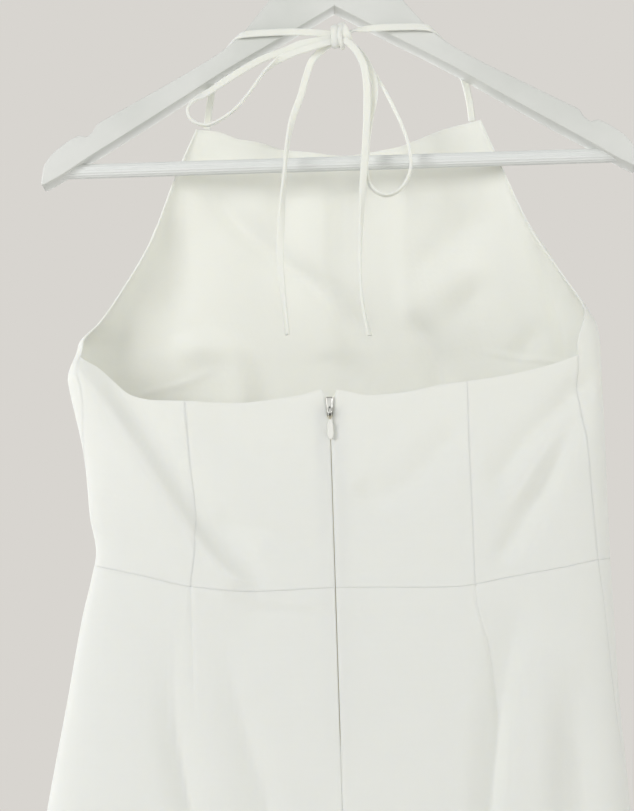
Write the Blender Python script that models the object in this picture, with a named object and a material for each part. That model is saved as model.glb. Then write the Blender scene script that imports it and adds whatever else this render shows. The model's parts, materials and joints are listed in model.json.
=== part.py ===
"""Halter dress of heavy woven cloth, tied by its neck ties round a painted wooden hanger.

Metres, +Z up. The origin is the inside top of the hanger's hook. +X is to the right of someone
who looks at the back of the dress, and +Y runs from the back of the dress to its front. The
tables below are in millimetres, and MM turns them to metres.
"""

import math
from collections import namedtuple

import bmesh
import bpy
from mathutils import Vector

MM = 0.001

# Cloth
CLOTH_WALL = 2.0
SEAM_GAP = 0.34
ROUNDNESS = 2.4          # 2 is an ellipse, more is a flatter dress with fuller sides
CENTRE_BACK_X = -13.5
HEM_Z = -1050.0
HEM_RISE_AT_SIDES = 8.0

# Neck ties: one turned strip each, flat
TIE_WIDTH = 5.7
TIE_WALL = 1.8
KNOT_CENTRE = (4.0, -18.5, -131.5)
KNOT_RADII = (9.0, 6.5, 10.0)
KNOT_CLEARANCE = 0.85

# Zip
TAPE_COLUMN = 7 / 8      # the grid line of the centre panels that each tape reaches to
TAPE_WALL = 1.0
TAPE_SKIRT_ROWS = 5      # grid lines of the skirt that the tapes run down to
SLIDER_TOP_Z = -406.0
SLIDER_END_Z = -419.5
SLIDER_TOP_WIDTH = 4.4
SLIDER_END_WIDTH = 3.4
SLIDER_DEPTH = 3.4
ARCH_WIDTH = 0.9
ARCH_BAR = 1.2
ARCH_HEIGHT = 6.0
ARCH_INNER_DEPTH = 1.7
PULL_BAR_RADIUS = 0.55
PULL_CLEARANCE = 0.3
PULL_LENGTH = 18.0
PULL_WALL = 1.1
PULL_WINDOW_LENGTH = 5.0
PULL_RAIL = 0.6

# Hanger
ARM_THICKNESS = 22.0
ARM_BEVEL = 1.8
MITRE_GAP = 0.3
BAR_RADIUS = 5.5
BAR_Z = -224.0
BAR_SOCKET_CLEARANCE = 0.3
BAR_HALF_LENGTH = 211.5
HOOK_WIRE_RADIUS = 1.75
HOOK_INNER_RADIUS = 22.0
HOOK_JOINS = -58.0       # degrees round the hook at which its shank runs into the bend
HOOK_ENDS = 200.0
HOOK_STEPS = 26
SHANK_STRAIGHT = 6.0
WOOD_TOP_Z = -62.0

SHARP_EDGE = math.radians(40)


class Table:
    """Rows of named columns in order of the first one, read on a smooth curve between the rows."""

    def __init__(self, columns, *rows, overshoot=False):
        self.keys = [row[0] for row in rows]
        self.values = {name: [row[i] for row in rows] for i, name in enumerate(columns.split())}
        self.slopes = {name: self.tangents(values, overshoot) for name, values in self.values.items()}

    def tangents(self, values, overshoot):
        """The slope at each row. Without overshoot a curve never passes the rows it joins."""
        steps = [(values[i + 1] - values[i]) / (self.keys[i + 1] - self.keys[i])
                 for i in range(len(values) - 1)]
        slopes = [steps[0]]
        for before, after in zip(steps, steps[1:]):
            if overshoot:
                slopes.append((before + after) / 2)
            elif before * after <= 0:
                slopes.append(0.0)
            else:
                slopes.append(2 * before * after / (before + after))
        return slopes + [steps[-1]]

    def read(self, name, key):
        """The value of a column at a key. Past the first or last row it stays as it is there."""
        keys, values, slopes = self.keys, self.values[name], self.slopes[name]
        way = 1 if keys[-1] > keys[0] else -1
        i = 0
        while i < len(keys) - 2 and way * (key - keys[i + 1]) > 0:
            i += 1
        span = keys[i + 1] - keys[i]
        t = min(1.0, max(0.0, (key - keys[i]) / span))
        rise = t * t * (3 - 2 * t)
        return (values[i] * (1 - rise) + values[i + 1] * rise
                + span * slopes[i] * t * (1 - t) ** 2 - span * slopes[i + 1] * t * t * (1 - t))


# Level sections of the dress. left and right are its outline, side_y, front_y and back_y its
# depth. The side seams turn on to the back by left_turn and right_turn degrees. Above the
# underarm only the front is cloth, and left and right are its armhole edges.
SECTIONS = Table(
    "z     left    right  side_y front_y back_y left_turn right_turn",
    (-188, -106.5, 107.5, 15, 20, -20, 0, 0),
    (-227, -124.0, 122.5, 13, 27, -30, 0, 0),
    (-276, -143.0, 142.0, 8, 34, -36, 0, 0),
    (-320, -168.0, 167.0, 2, 39, -40, 2, 4),
    (-341, -182.0, 179.5, -3, 41, -43, 6, 12),
    (-357, -196.5, 186.0, -6, 42, -45, 13, 24),
    (-372, -198.5, 187.0, -6, 43, -46, 16, 28),
    (-395, -197.5, 187.0, -6, 43, -46, 20, 28),
    (-442, -192.5, 187.0, -6, 41, -46, 8, 25),
    (-483, -190.0, 186.5, -6, 39, -46, 3, 23),
    (-509, -186.0, 186.5, -6, 38, -46, 1, 22),
    (-530, -190.0, 186.6, -6, 39, -46, 0, 21),
    (-554, -196.3, 187.0, -5, 41, -48, 0, 19),
    (-617, -208.9, 188.1, -4, 48, -53, 0, 15),
    (-694, -224.6, 192.0, -3, 55, -60, 0, 9),
    (-800, -243.0, 198.0, -2, 62, -68, 0, 5),
    (-925, -263.0, 205.0, -1, 69, -75, 0, 2),
    (-1060, -284.0, 211.0, 0, 75, -82, 0, 0),
)

# Heights of the cut edges across the dress
NECKLINE = Table(
    "x z", (-107, -190), (-92, -191.5), (-75, -197.5), (-63, -199.5), (-40, -205.5), (8, -211),
    (46, -206.5), (58, -202.5), (82, -194.5), (108, -189.5))
BACK_TOP = Table(
    "x z", (-197, -361), (-192, -368), (-181, -377), (-170, -388), (-158, -398), (-140, -403),
    (-121, -404.5), (-78, -408), (-34, -404), (-20, -400.5), (-8, -401), (16, -405.5),
    (37, -404.5), (66, -399.5), (110, -394), (156, -383), (180, -371), (187, -364))
WAIST = Table(
    "x back front", (-190, -519, -519), (-150, -529, -526), (-115, -538, -531), (-69, -543, -535),
    (-15, -542, -538), (68, -544, -537), (117, -537, -533), (150, -532, -530), (176, -527, -527),
    (190, -525, -525))

# Seams down the back, which the darts of the skirt carry on, and half the gap that the zip shows in
SHAPING_SEAMS = Table(
    "z left right", (-395, -118, 85.5), (-450, -115, 85.5), (-508, -111, 85.5), (-545, -116, 85.5),
    (-591, -116, 94), (-640, -115, 99), (-800, -116, 103), (-1060, -120, 108))
ZIP_GAP = Table(
    "z half", (-398, 6.0), (-402, 5.2), (-406, 3.2), (-412, 2.9), (-419, 2.7), (-425, 0.7),
    (-440, 0.5), (-640, 0.5), (-656, 0.15), (-1060, 0.15))

# A fold stands out of the cloth by height, or sinks into it where that is negative. It follows
# its route of x and z, is left and right wide to either side of it, and fades over start and
# end of its length.
Fold = namedtuple("Fold", "height left right start end route")

BACK_FOLDS = (
    Fold(5, 13, 24, 25, 30,
         ((-200, -360), (-183, -389), (-152, -436), (-117, -494), (-86, -534), (-50, -552))),
    Fold(-4, 20, 13, 25, 30,
         ((-190, -355), (-173, -383), (-142, -430), (-107, -488), (-76, -528), (-40, -545))),
    Fold(-3, 14, 14, 30, 30, ((-116, -412), (-61, -447), (-12, -470))),
    Fold(-3, 10, 12, 20, 20, ((-104, -488), (-52, -504), (-14, -518))),
    Fold(-4, 14, 14, 25, 25, ((86, -424), (46, -465), (20, -478), (-10, -478))),
    Fold(-4, 10, 11, 20, 25, ((186, -392), (166, -408), (142, -431), (121, -450), (94, -482))),
    Fold(3, 9, 9, 20, 25, ((178, -402), (160, -424), (137, -452), (110, -492))),
    Fold(-4, 9, 10, 20, 20, ((178, -407), (159, -431), (143, -462), (116, -510), (98, -533))),
    Fold(-3, 5, 9, 20, 15, ((-80, -556), (-42, -558), (-10, -563))),
    Fold(-9, 16, 12, 130, 1, ((-129, -558), (-133, -617), (-121, -686), (-100, -800), (-84, -1080))),
    Fold(6, 14, 14, 130, 1, ((-112, -590), (-112, -650), (-104, -720), (-80, -850), (-58, -1080))),
    Fold(-7, 12, 14, 90, 1, ((-99, -568), (-88, -613), (-68, -688), (-35, -850), (-12, -1080))),
    Fold(6, 18, 14, 160, 1, ((72, -600), (70, -700), (58, -850), (44, -1080))),
    Fold(-8, 8, 16, 60, 1, ((120, -540), (109, -591), (88, -701), (76, -850), (66, -1080))),
    Fold(5, 20, 20, 90, 1, ((128, -575), (122, -700), (114, -860), (106, -1080))),
    Fold(-8, 16, 16, 90, 1, ((148, -585), (151, -653), (150, -860), (150, -1080))),
)
FRONT_FOLDS = (
    Fold(-9, 14, 24, 20, 30, ((-172, -360), (-130, -364), (-102, -374), (-94, -400), (-94, -450))),
    Fold(-8, 9, 11, 25, 30, ((-135, -352), (-105, -354), (-87, -361), (-79, -378), (-78, -400), (-80, -450))),
    Fold(5, 8, 8, 30, 30, ((-108, -222), (-78, -260), (-42, -293), (-16, -312), (4, -335), (24, -372))),
    Fold(5, 6, 8, 15, 25, ((47, -328), (64, -357), (75, -383), (80, -420))),
    Fold(-6, 10, 12, 20, 20, ((44, -345), (62, -328), (84, -309), (112, -286))),
    Fold(5, 13, 13, 25, 25, ((116, -242), (93, -269), (70, -291), (42, -308))),
    Fold(4, 8, 8, 15, 15, ((112, -306), (91, -329), (76, -345))),
    Fold(6, 9, 5, 40, 30, ((136, -250), (148, -290), (156, -325), (164, -365), (166, -400))),
    Fold(4, 7, 7, 15, 15, ((156, -338), (141, -357), (122, -382))),
    Fold(5, 16, 16, 30, 30, ((-134, -250), (-124, -294), (-130, -317), (-146, -340))),
    Fold(4, 12, 12, 5, 40, ((3, -200), (5, -257), (0, -320))),
    Fold(4, 12, 12, 5, 40, ((-42, -200), (-44, -250), (-46, -300))),
    Fold(4, 8, 8, 15, 20, ((-12, -358), (7, -381), (18, -410))),
    Fold(-8, 20, 20, 130, 1, ((-120, -580), (-124, -700), (-130, -1080))),
    Fold(-7, 20, 20, 150, 1, ((-40, -600), (-44, -750), (-50, -1080))),
    Fold(-8, 22, 20, 130, 1, ((52, -580), (56, -700), (60, -1080))),
    Fold(-7, 18, 18, 150, 1, ((128, -600), (134, -750), (142, -1080))),
)
SIDE_FADE = 0.15         # how far round the side, as a sine, folds of the front and back fade out

# Routes of the ties: places, then the way the strip's flat side faces there
NECK_LEFT = (
    (-99.5, 17.3, -189.9, 0, 1, 0), (-97.5, 16.2, -178, 0, 1, 0), (-92, 14.4, -160, 0, 1, 0),
    (-83, 13.5, -141.5, -0.2, 1, 0.1), (-75.5, 13.0, -129.5, -0.4, 0.9, 0.3),
    (-72.2, 10.6, -124.4, -0.7, 0.5, 0.6), (-70.8, 5, -123.3, -0.776, 0, 0.632),
    (-70.6, 0, -123.3, -0.776, 0, 0.632), (-70.7, -6, -122.6, -0.776, 0, 0.632),
    (-69.3, -12, -122.2, -0.6, -0.6, 0.5), (-63.5, -13.8, -123.8, -0.2, -1, 0.1),
    (-50, -13.7, -125.4, 0, -1, 0), (-27, -14.2, -125.8, 0, -1, 0))
NECK_RIGHT = (
    (102, 17.3, -189.8, 0, 1, 0), (101, 16.2, -178, 0, 1, 0), (97, 14.4, -160, 0, 1, 0),
    (91.5, 13.5, -146, 0.1, 1, 0.1), (86, 13.0, -137, 0.3, 0.9, 0.3),
    (82.6, 10.6, -133, 0.45, 0.5, 0.7), (81, 5, -131.8, 0.6, 0, 0.8),
    (80.7, 0, -131.7, 0.6, 0, 0.8), (80.5, -6, -130.8, 0.6, 0, 0.8),
    (78.9, -12, -129.8, 0.4, -0.6, 0.6), (73, -13.8, -129, 0.1, -1, 0.1),
    (60, -13.8, -126.6, 0, -1, 0), (42, -14.2, -125.3, 0, -1, 0), (25, -15, -125.8, 0, -0.9, 0.4))
LOOP_LEFT = (
    (-16, -17.6, -134.2, 0, -1, 0), (-27, -17.4, -136, 0, -1, 0), (-39, -17.2, -141, 0, -1, 0),
    (-57, -17.2, -147.5, 0, -1, 0), (-79, -17.5, -160, 0, -1, 0), (-99, -18.5, -173, 0, -1, 0.2),
    (-107, -19.5, -177.5, -0.3, -1, 0.4), (-111.5, -21, -184, -0.8, -0.6, 0.1),
    (-110, -22.5, -191, -0.6, -0.6, -0.4), (-104, -23.5, -195.8, -0.2, -0.7, -0.7),
    (-97, -24, -197, 0.1, -0.7, -0.7), (-88, -24, -193.5, 0.4, -0.8, -0.4),
    (-77, -23.6, -186, 0.3, -0.9, -0.2), (-66, -23.2, -174, 0.2, -1, -0.1),
    (-54, -22.8, -158, 0.1, -1, 0), (-42, -22.2, -148, 0, -1, 0), (-27, -21.6, -142.5, 0, -1, 0))
LOOP_RIGHT = (
    (17, -17.4, -144, 0, -1, 0), (24, -17.2, -156, 0, -1, 0), (27.5, -17.2, -168, 0, -1, 0),
    (27, -17.2, -180, 0, -1, 0), (23.5, -17.4, -195, -0.2, -1, 0), (20, -18, -218, -0.3, -1, 0),
    (19.5, -18.5, -237, -0.5, -0.9, 0), (23, -19.3, -247, -0.6, -0.7, -0.4),
    (33, -20.3, -253, 0, -0.7, -0.7), (43, -21, -249.5, 0.5, -0.7, -0.5),
    (50.5, -21.4, -239, 0.7, -0.7, -0.1), (52.5, -21.5, -225, 0.5, -0.9, 0),
    (49, -21.4, -207, 0.3, -1, 0), (40, -21.2, -184, 0.2, -1, 0), (30, -21, -164, 0, -1, 0),
    (21, -21, -149, 0, -1, 0))
TAIL_LEFT = (
    (-12, -24.8, -141.5, 0, -1, 0), (-18, -24.8, -148, 0, -1, 0), (-23, -24.4, -161, 0, -1, 0),
    (-27.5, -23.6, -176, 0.1, -1, 0), (-34, -22.6, -193, 0.4, -0.9, 0), (-38, -21.8, -210, 0.9, -0.5, 0),
    (-41, -21.4, -231, 0.7, -0.7, 0), (-43.5, -21, -257, 0.2, -1, 0), (-45.5, -20.7, -287, -0.2, -1, 0),
    (-46, -20.5, -307, 0, -1, 0), (-44.3, -20.4, -330, 0.2, -1, 0), (-42.3, -20.4, -356, 0, -1, 0))
TAIL_RIGHT = (
    (13.5, -24.8, -143, 0, -1, 0), (19.5, -25, -155, 0, -1, 0), (21.5, -24.9, -170, 0, -1, 0),
    (20.6, -24.6, -199, 0, -1, 0), (18, -24.2, -229, 0.2, -1, 0), (15, -23.8, -266, 0.4, -0.9, 0),
    (12.2, -23.4, -300, 0.2, -1, 0), (12, -23.2, -325, -0.2, -1, 0), (14.5, -23, -345, 0, -1, 0),
    (17.5, -23, -359, 0, -1, 0))

# Where each tie leaves the knot, as directions from its centre
LEAVES_KNOT = {
    "neck_left": (-1, 0.35, 0.5), "neck_right": (1, 0.3, 0.45),
    "loop_left_out": (-1, 0.1, -0.25), "loop_left_back": (-0.95, -0.35, -0.75),
    "loop_right_out": (0.8, 0.2, -0.75), "loop_right_back": (0.8, -0.35, -0.85),
    "tail_left": (-0.7, -0.85, -0.6), "tail_right": (0.5, -0.9, -0.75),
}

# One arm of the hanger as it is sawn, from the mitre round the top to the tip and back
ARM_OUTLINE = (
    (0, -62), (11, -62), (16, -63.5), (20, -67), (28, -76), (38, -86), (50, -100.5), (61, -114),
    (72, -127), (88, -139.5), (111, -153), (145, -171.5), (180, -190.5), (183, -196), (188, -200.5),
    (193.5, -198.5), (203, -203.5), (214, -212), (220.5, -221), (222.5, -236), (219, -235),
    (206, -228), (190, -217.5), (155, -196.5), (115, -172), (92, -157.5), (68, -143.5), (39, -127.5),
    (0, -105))


def material(name, colour, roughness, metallic=0.0):
    """A plain finish."""
    finish = bpy.data.materials.new(name)
    finish.use_nodes = True
    shader = finish.node_tree.nodes["Principled BSDF"]
    shader.inputs["Base Color"].default_value = (*colour, 1.0)
    shader.inputs["Roughness"].default_value = roughness
    shader.inputs["Metallic"].default_value = metallic
    return finish


def add_object(name, mesh, finish):
    """Makes a mesh into an object of the scene."""
    data = bpy.data.meshes.new(name)
    mesh.to_mesh(data)
    mesh.free()
    data.materials.append(finish)
    thing = bpy.data.objects.new(name, data)
    bpy.context.collection.objects.link(thing)
    return thing


def hide_cutter(thing):
    """Marks an object that only shapes another one."""
    thing.hide_render = True
    thing.display_type = "WIRE"


def apply_boolean(thing, operation, tool):
    """Joins a tool to a thing, or cuts it away."""
    cut = thing.modifiers.new(operation.title(), "BOOLEAN")
    cut.operation = operation
    cut.solver = "EXACT"
    cut.object = tool


def smoothstep(t):
    """An even rise from 0 to 1."""
    t = min(1.0, max(0.0, t))
    return t * t * (3 - 2 * t)


def blend(a, b, t):
    """Part of the way from one value to another."""
    return a + (b - a) * t


def ring_point(z, angle):
    """The plain surface at a height. Angle 0 is the right side, 90 the front and 270 the back."""
    left, right = SECTIONS.read("left", z), SECTIONS.read("right", z)
    side = SECTIONS.read("side_y", z)
    cosine, sine = math.cos(math.radians(angle)), math.sin(math.radians(angle))
    centre = SECTIONS.read("front_y" if sine > 0 else "back_y", z)
    power = 2 / ROUNDNESS
    x = (left + right) / 2 + (right - left) / 2 * math.copysign(abs(cosine) ** power, cosine)
    return Vector((x, side + (centre - side) * abs(sine) ** power, z))


def angle_at(z, x):
    """The angle at which the back of the dress is at x."""
    left, right = SECTIONS.read("left", z), SECTIONS.read("right", z)
    share = max(-1.0, min(1.0, (x - (left + right) / 2) / ((right - left) / 2)))
    return 360 - math.degrees(math.acos(math.copysign(abs(share) ** (ROUNDNESS / 2), share)))


def fold_height(fold, x, z):
    """How far one fold moves the cloth at a place."""
    lengths = [math.dist(a, b) for a, b in zip(fold.route, fold.route[1:])]
    best = None
    passed = 0.0
    for (ax, az), (bx, bz), length in zip(fold.route, fold.route[1:], lengths):
        dx, dz = (bx - ax) / length, (bz - az) / length
        along = min(length, max(0.0, (x - ax) * dx + (z - az) * dz))
        away = math.dist((x, z), (ax + dx * along, az + dz * along))
        if best is None or away < best[0]:
            left_side = (z - az) * dx - (x - ax) * dz > 0
            best = (away, left_side, passed + along)
        passed += length
    away, left_side, place = best
    width = fold.left if left_side else fold.right
    fade = smoothstep(place / fold.start) * smoothstep((passed - place) / fold.end)
    return fold.height * fade * math.exp(-(away / width) ** 2)


def skin_point(z, angle):
    """The middle of the cloth's wall, with its folds."""
    point = ring_point(z, angle)
    sine = math.sin(math.radians(angle))
    folds = FRONT_FOLDS if sine > 0 else BACK_FOLDS
    lift = sum(fold_height(fold, point.x, z) for fold in folds) * smoothstep(abs(sine) / SIDE_FADE)
    ahead, behind = ring_point(z, angle + 0.5), ring_point(z, angle - 0.5)
    outward = Vector((ahead.y - behind.y, behind.x - ahead.x, 0)).normalized()
    return point + outward * lift


def skin_normal(z, angle):
    """The way out of the cloth at a point of it."""
    round_it = skin_point(z, angle + 0.4) - skin_point(z, angle - 0.4)
    up = skin_point(z + 1, angle) - skin_point(z - 1, angle)
    return round_it.cross(up).normalized()


def even(count):
    """Grid lines at even steps."""
    return [i / count for i in range(count + 1)]


def closer_at_end(count, power):
    """Grid lines that get closer towards 1."""
    return [1 - (1 - i / count) ** power for i in range(count + 1)]


def then(first, second):
    """Grid lines of one stretch, then those of the next one."""
    return first + [1 + line for line in second[1:]]


def between(levels, line):
    """The value on a grid line: 0 is the first level, 1 the second and 2 the third."""
    i = min(int(line), len(levels) - 2)
    return blend(levels[i], levels[i + 1], line - i)


# Grid lines of the pieces. Pieces share those of the seam between them, so the seam stays even.
BODICE_ROWS = closer_at_end(13, 1.5)
HALTER_ROWS = even(13)
SKIRT_ROWS = closer_at_end(13, 1.3)
SIDE_COLUMNS = even(6)
CENTRE_COLUMNS = even(8)
FRONT_COLUMNS = even(24)


def slab(name, finish, across, up, place):
    """A closed wall on a grid. place takes the grid line values and 0 or 1 for its two sides."""
    mesh = bmesh.new()
    columns, rows = len(across) - 1, len(up) - 1
    bmesh.ops.create_grid(mesh, x_segments=columns, y_segments=rows, size=0.5)
    grown = bmesh.ops.extrude_face_region(mesh, geom=mesh.faces[:], use_keep_orig=True)
    outer = [item for item in grown["geom"] if isinstance(item, bmesh.types.BMVert)]
    bmesh.ops.translate(mesh, verts=outer, vec=(0, 0, 1))
    bmesh.ops.recalc_face_normals(mesh, faces=mesh.faces[:])
    for vert in mesh.verts:
        u = across[round((vert.co.x + 0.5) * columns)]
        v = up[round((vert.co.y + 0.5) * rows)]
        vert.co = place(u, v, round(vert.co.z)) * MM
    if mesh.calc_volume(signed=True) < 0:
        bmesh.ops.reverse_faces(mesh, faces=mesh.faces[:])
    thing = add_object(name, mesh, finish)
    thing.data.shade_smooth()
    thing.data.set_sharp_from_angle(angle=SHARP_EDGE)
    return thing


def cut_piece(name, finish, across, up, edges, heights, wall=CLOTH_WALL, inset=0.0):
    """A sewn piece of the dress.

    edges gives its two side edges as angles at a height, and heights its bottom and top edge at
    an x, either with a line between them where it has one. inset puts it inside the cloth that
    it is sewn behind.
    """
    def place(u, v, side):
        z = between(heights(0), v)
        for _ in range(8):
            angle = between(edges(z), u)
            z = between(heights(ring_point(z, angle).x), v)
        return skin_point(z, angle) + skin_normal(z, angle) * ((side - 0.5) * wall - inset)

    return slab(name, finish, across, up, place)


def turned_in(z, angle, distance):
    """An angle moved on by a distance along the cloth."""
    step = (ring_point(z, angle + 0.5) - ring_point(z, angle - 0.5)).length
    return angle + distance / step


def left_seam(z, side):
    """The left side seam's angle, half a seam's gap to one side of it."""
    return turned_in(z, 180 + SECTIONS.read("left_turn", z), side * SEAM_GAP / 2)


def right_seam(z, side):
    """The right side seam's angle, half a seam's gap to one side of it."""
    return turned_in(z, 360 - SECTIONS.read("right_turn", z), side * SEAM_GAP / 2)


def shaping_seam(z, name, side=0):
    """The angle of one of the seams that shape the back, or half a gap to one side of it."""
    return angle_at(z, SHAPING_SEAMS.read(name, z) + side * SEAM_GAP / 2)


def zip_edge(z, side):
    """The angle of the cloth's edge on one side of the zip."""
    return angle_at(z, CENTRE_BACK_X + side * ZIP_GAP.read("half", z))


def front_edges(z):
    """Both side edges of the front, which are its side seams and, above them, its armholes."""
    return left_seam(z, -1), right_seam(z, 1) - 360


def seam_top(seam):
    """Where a side seam meets the top of the back."""
    z = BACK_TOP.read("z", 0)
    for _ in range(12):
        point = ring_point(z, seam(z, 0))
        z = BACK_TOP.read("z", point.x)
    return point


def make_bodice(cloth):
    """The front with its halter top, and the four panels of the back."""
    gap = SEAM_GAP / 2
    left_top, right_top = seam_top(left_seam), seam_top(right_seam)

    def front_heights(x):
        share = (x - left_top.x) / (right_top.x - left_top.x)
        underarm = blend(left_top.z, right_top.z, min(1, max(0, share)))
        return WAIST.read("front", x) + gap, underarm, NECKLINE.read("z", x)

    def back_heights(x):
        return WAIST.read("back", x) + gap, BACK_TOP.read("z", x)

    cut_piece("front_bodice", cloth, FRONT_COLUMNS, then(BODICE_ROWS, HALTER_ROWS),
              front_edges, front_heights)
    cut_piece("back_side_left", cloth, SIDE_COLUMNS, BODICE_ROWS,
              lambda z: (left_seam(z, 1), shaping_seam(z, "left", -1)), back_heights)
    cut_piece("back_centre_left", cloth, CENTRE_COLUMNS, BODICE_ROWS,
              lambda z: (shaping_seam(z, "left", 1), zip_edge(z, -1)), back_heights)
    cut_piece("back_centre_right", cloth, CENTRE_COLUMNS, BODICE_ROWS,
              lambda z: (zip_edge(z, 1), shaping_seam(z, "right", -1)), back_heights)
    cut_piece("back_side_right", cloth, SIDE_COLUMNS, BODICE_ROWS,
              lambda z: (shaping_seam(z, "right", 1), right_seam(z, -1)), back_heights)


def hem(x):
    """The hem's height, a little higher at the sides."""
    return HEM_Z + HEM_RISE_AT_SIDES * (x / SECTIONS.read("left", HEM_Z)) ** 2


def make_skirt(cloth):
    """The skirt's front and its two backs, whose grid lines carry on those of the bodice."""
    gap = SEAM_GAP / 2

    def front_heights(x):
        return hem(x), WAIST.read("front", x) - gap

    def back_heights(x):
        return hem(x), WAIST.read("back", x) - gap

    cut_piece("skirt_front", cloth, FRONT_COLUMNS, SKIRT_ROWS, front_edges, front_heights)
    cut_piece("skirt_back_left", cloth, then(SIDE_COLUMNS, CENTRE_COLUMNS), SKIRT_ROWS,
              lambda z: (left_seam(z, 1), shaping_seam(z, "left"), zip_edge(z, -1)), back_heights)
    cut_piece("skirt_back_right", cloth, then(CENTRE_COLUMNS, SIDE_COLUMNS), SKIRT_ROWS,
              lambda z: (zip_edge(z, 1), shaping_seam(z, "right"), right_seam(z, -1)), back_heights)


def knot_end(name):
    """The place just clear of the knot where a tie leaves it."""
    way = Vector(LEAVES_KNOT[name]).normalized()
    reach = 1 / math.sqrt(sum((part / radius) ** 2 for part, radius in zip(way, KNOT_RADII)))
    return tuple(Vector(KNOT_CENTRE) + way * (reach + KNOT_CLEARANCE))


def strap(name, finish, route, count):
    """A flat strip along a smooth curve through a route."""
    places = [Vector(row[:3]) for row in route]
    passed = [0.0]
    for a, b in zip(places, places[1:]):
        passed.append(passed[-1] + (b - a).length)
    rows = [(length, *row) for length, row in zip(passed, route)]
    curve = Table("length x y z face_x face_y face_z", *rows, overshoot=True)

    def read(names, length):
        return Vector([curve.read(name, length) for name in names])

    def place(u, v, side):
        length = blend(0, passed[-1], u)
        centre = read(("x", "y", "z"), length)
        ahead = read(("x", "y", "z"), min(passed[-1], length + 0.5))
        along = (ahead - read(("x", "y", "z"), max(0, length - 0.5))).normalized()
        face = read(("face_x", "face_y", "face_z"), length)
        face = (face - along * face.dot(along)).normalized()
        across = along.cross(face)
        return centre + across * (v - 0.5) * TIE_WIDTH + face * (side - 0.5) * TIE_WALL

    return slab(name, finish, even(count), even(1), place)


def make_ties(cloth):
    """Two ties in a bow: each has a stretch round the neck, a loop and a tail."""
    mesh = bmesh.new()
    bmesh.ops.create_uvsphere(mesh, u_segments=14, v_segments=9, radius=1)
    bmesh.ops.scale(mesh, verts=mesh.verts[:], vec=Vector(KNOT_RADII) * MM)
    bmesh.ops.translate(mesh, verts=mesh.verts[:], vec=Vector(KNOT_CENTRE) * MM)
    add_object("bow_knot", mesh, cloth).data.shade_smooth()

    def leaving(name, route):
        return (*knot_end(name), *route[0][3:]), *route

    def coming(route, name):
        return *route, (*knot_end(name), *route[-1][3:])

    strap("neck_tie_left", cloth, coming(NECK_LEFT, "neck_left"), 34)
    strap("neck_tie_right", cloth, coming(NECK_RIGHT, "neck_right"), 34)
    strap("bow_loop_left", cloth, leaving("loop_left_out", coming(LOOP_LEFT, "loop_left_back")), 44)
    strap("bow_loop_right", cloth, leaving("loop_right_out", coming(LOOP_RIGHT, "loop_right_back")), 44)
    strap("tie_tail_left", cloth, leaving("tail_left", TAIL_LEFT), 26)
    strap("tie_tail_right", cloth, leaving("tail_right", TAIL_RIGHT), 26)


def box(mesh, low, high):
    """Adds a box to a mesh."""
    made = bmesh.ops.create_cube(mesh, size=1)
    size = [b - a for a, b in zip(low, high)]
    centre = [(a + b) / 2 for a, b in zip(low, high)]
    bmesh.ops.scale(mesh, verts=made["verts"], vec=Vector(size) * MM)
    bmesh.ops.translate(mesh, verts=made["verts"], vec=Vector(centre) * MM)
    return made["verts"]


def zip_face_y():
    """The outer face of the cloth beside the zip's slider."""
    z = (SLIDER_TOP_Z + SLIDER_END_Z) / 2
    return skin_point(z, angle_at(z, CENTRE_BACK_X)).y - CLOTH_WALL / 2


def make_tape(name, side, finish):
    """One tape of the zip, behind the cloth's edge, on the grid lines of the panels it is sewn to."""
    gap = SEAM_GAP / 2

    def edges(z):
        edge = zip_edge(z, side)
        behind = blend(shaping_seam(z, name, -side), edge, TAPE_COLUMN)
        across = behind, edge, angle_at(z, CENTRE_BACK_X + side * gap)
        return across if side < 0 else across[::-1]

    def heights(x):
        seam = WAIST.read("back", x)
        return hem(x), seam - gap, seam + gap, BACK_TOP.read("z", x)

    rows = SKIRT_ROWS[-TAPE_SKIRT_ROWS:] + [2 + line for line in BODICE_ROWS[:-1]]
    cut_piece("zip_tape_" + name, finish, [0, 1, 2], rows, edges, heights, wall=TAPE_WALL,
              inset=CLOTH_WALL / 2 + SEAM_GAP + TAPE_WALL / 2)


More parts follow.
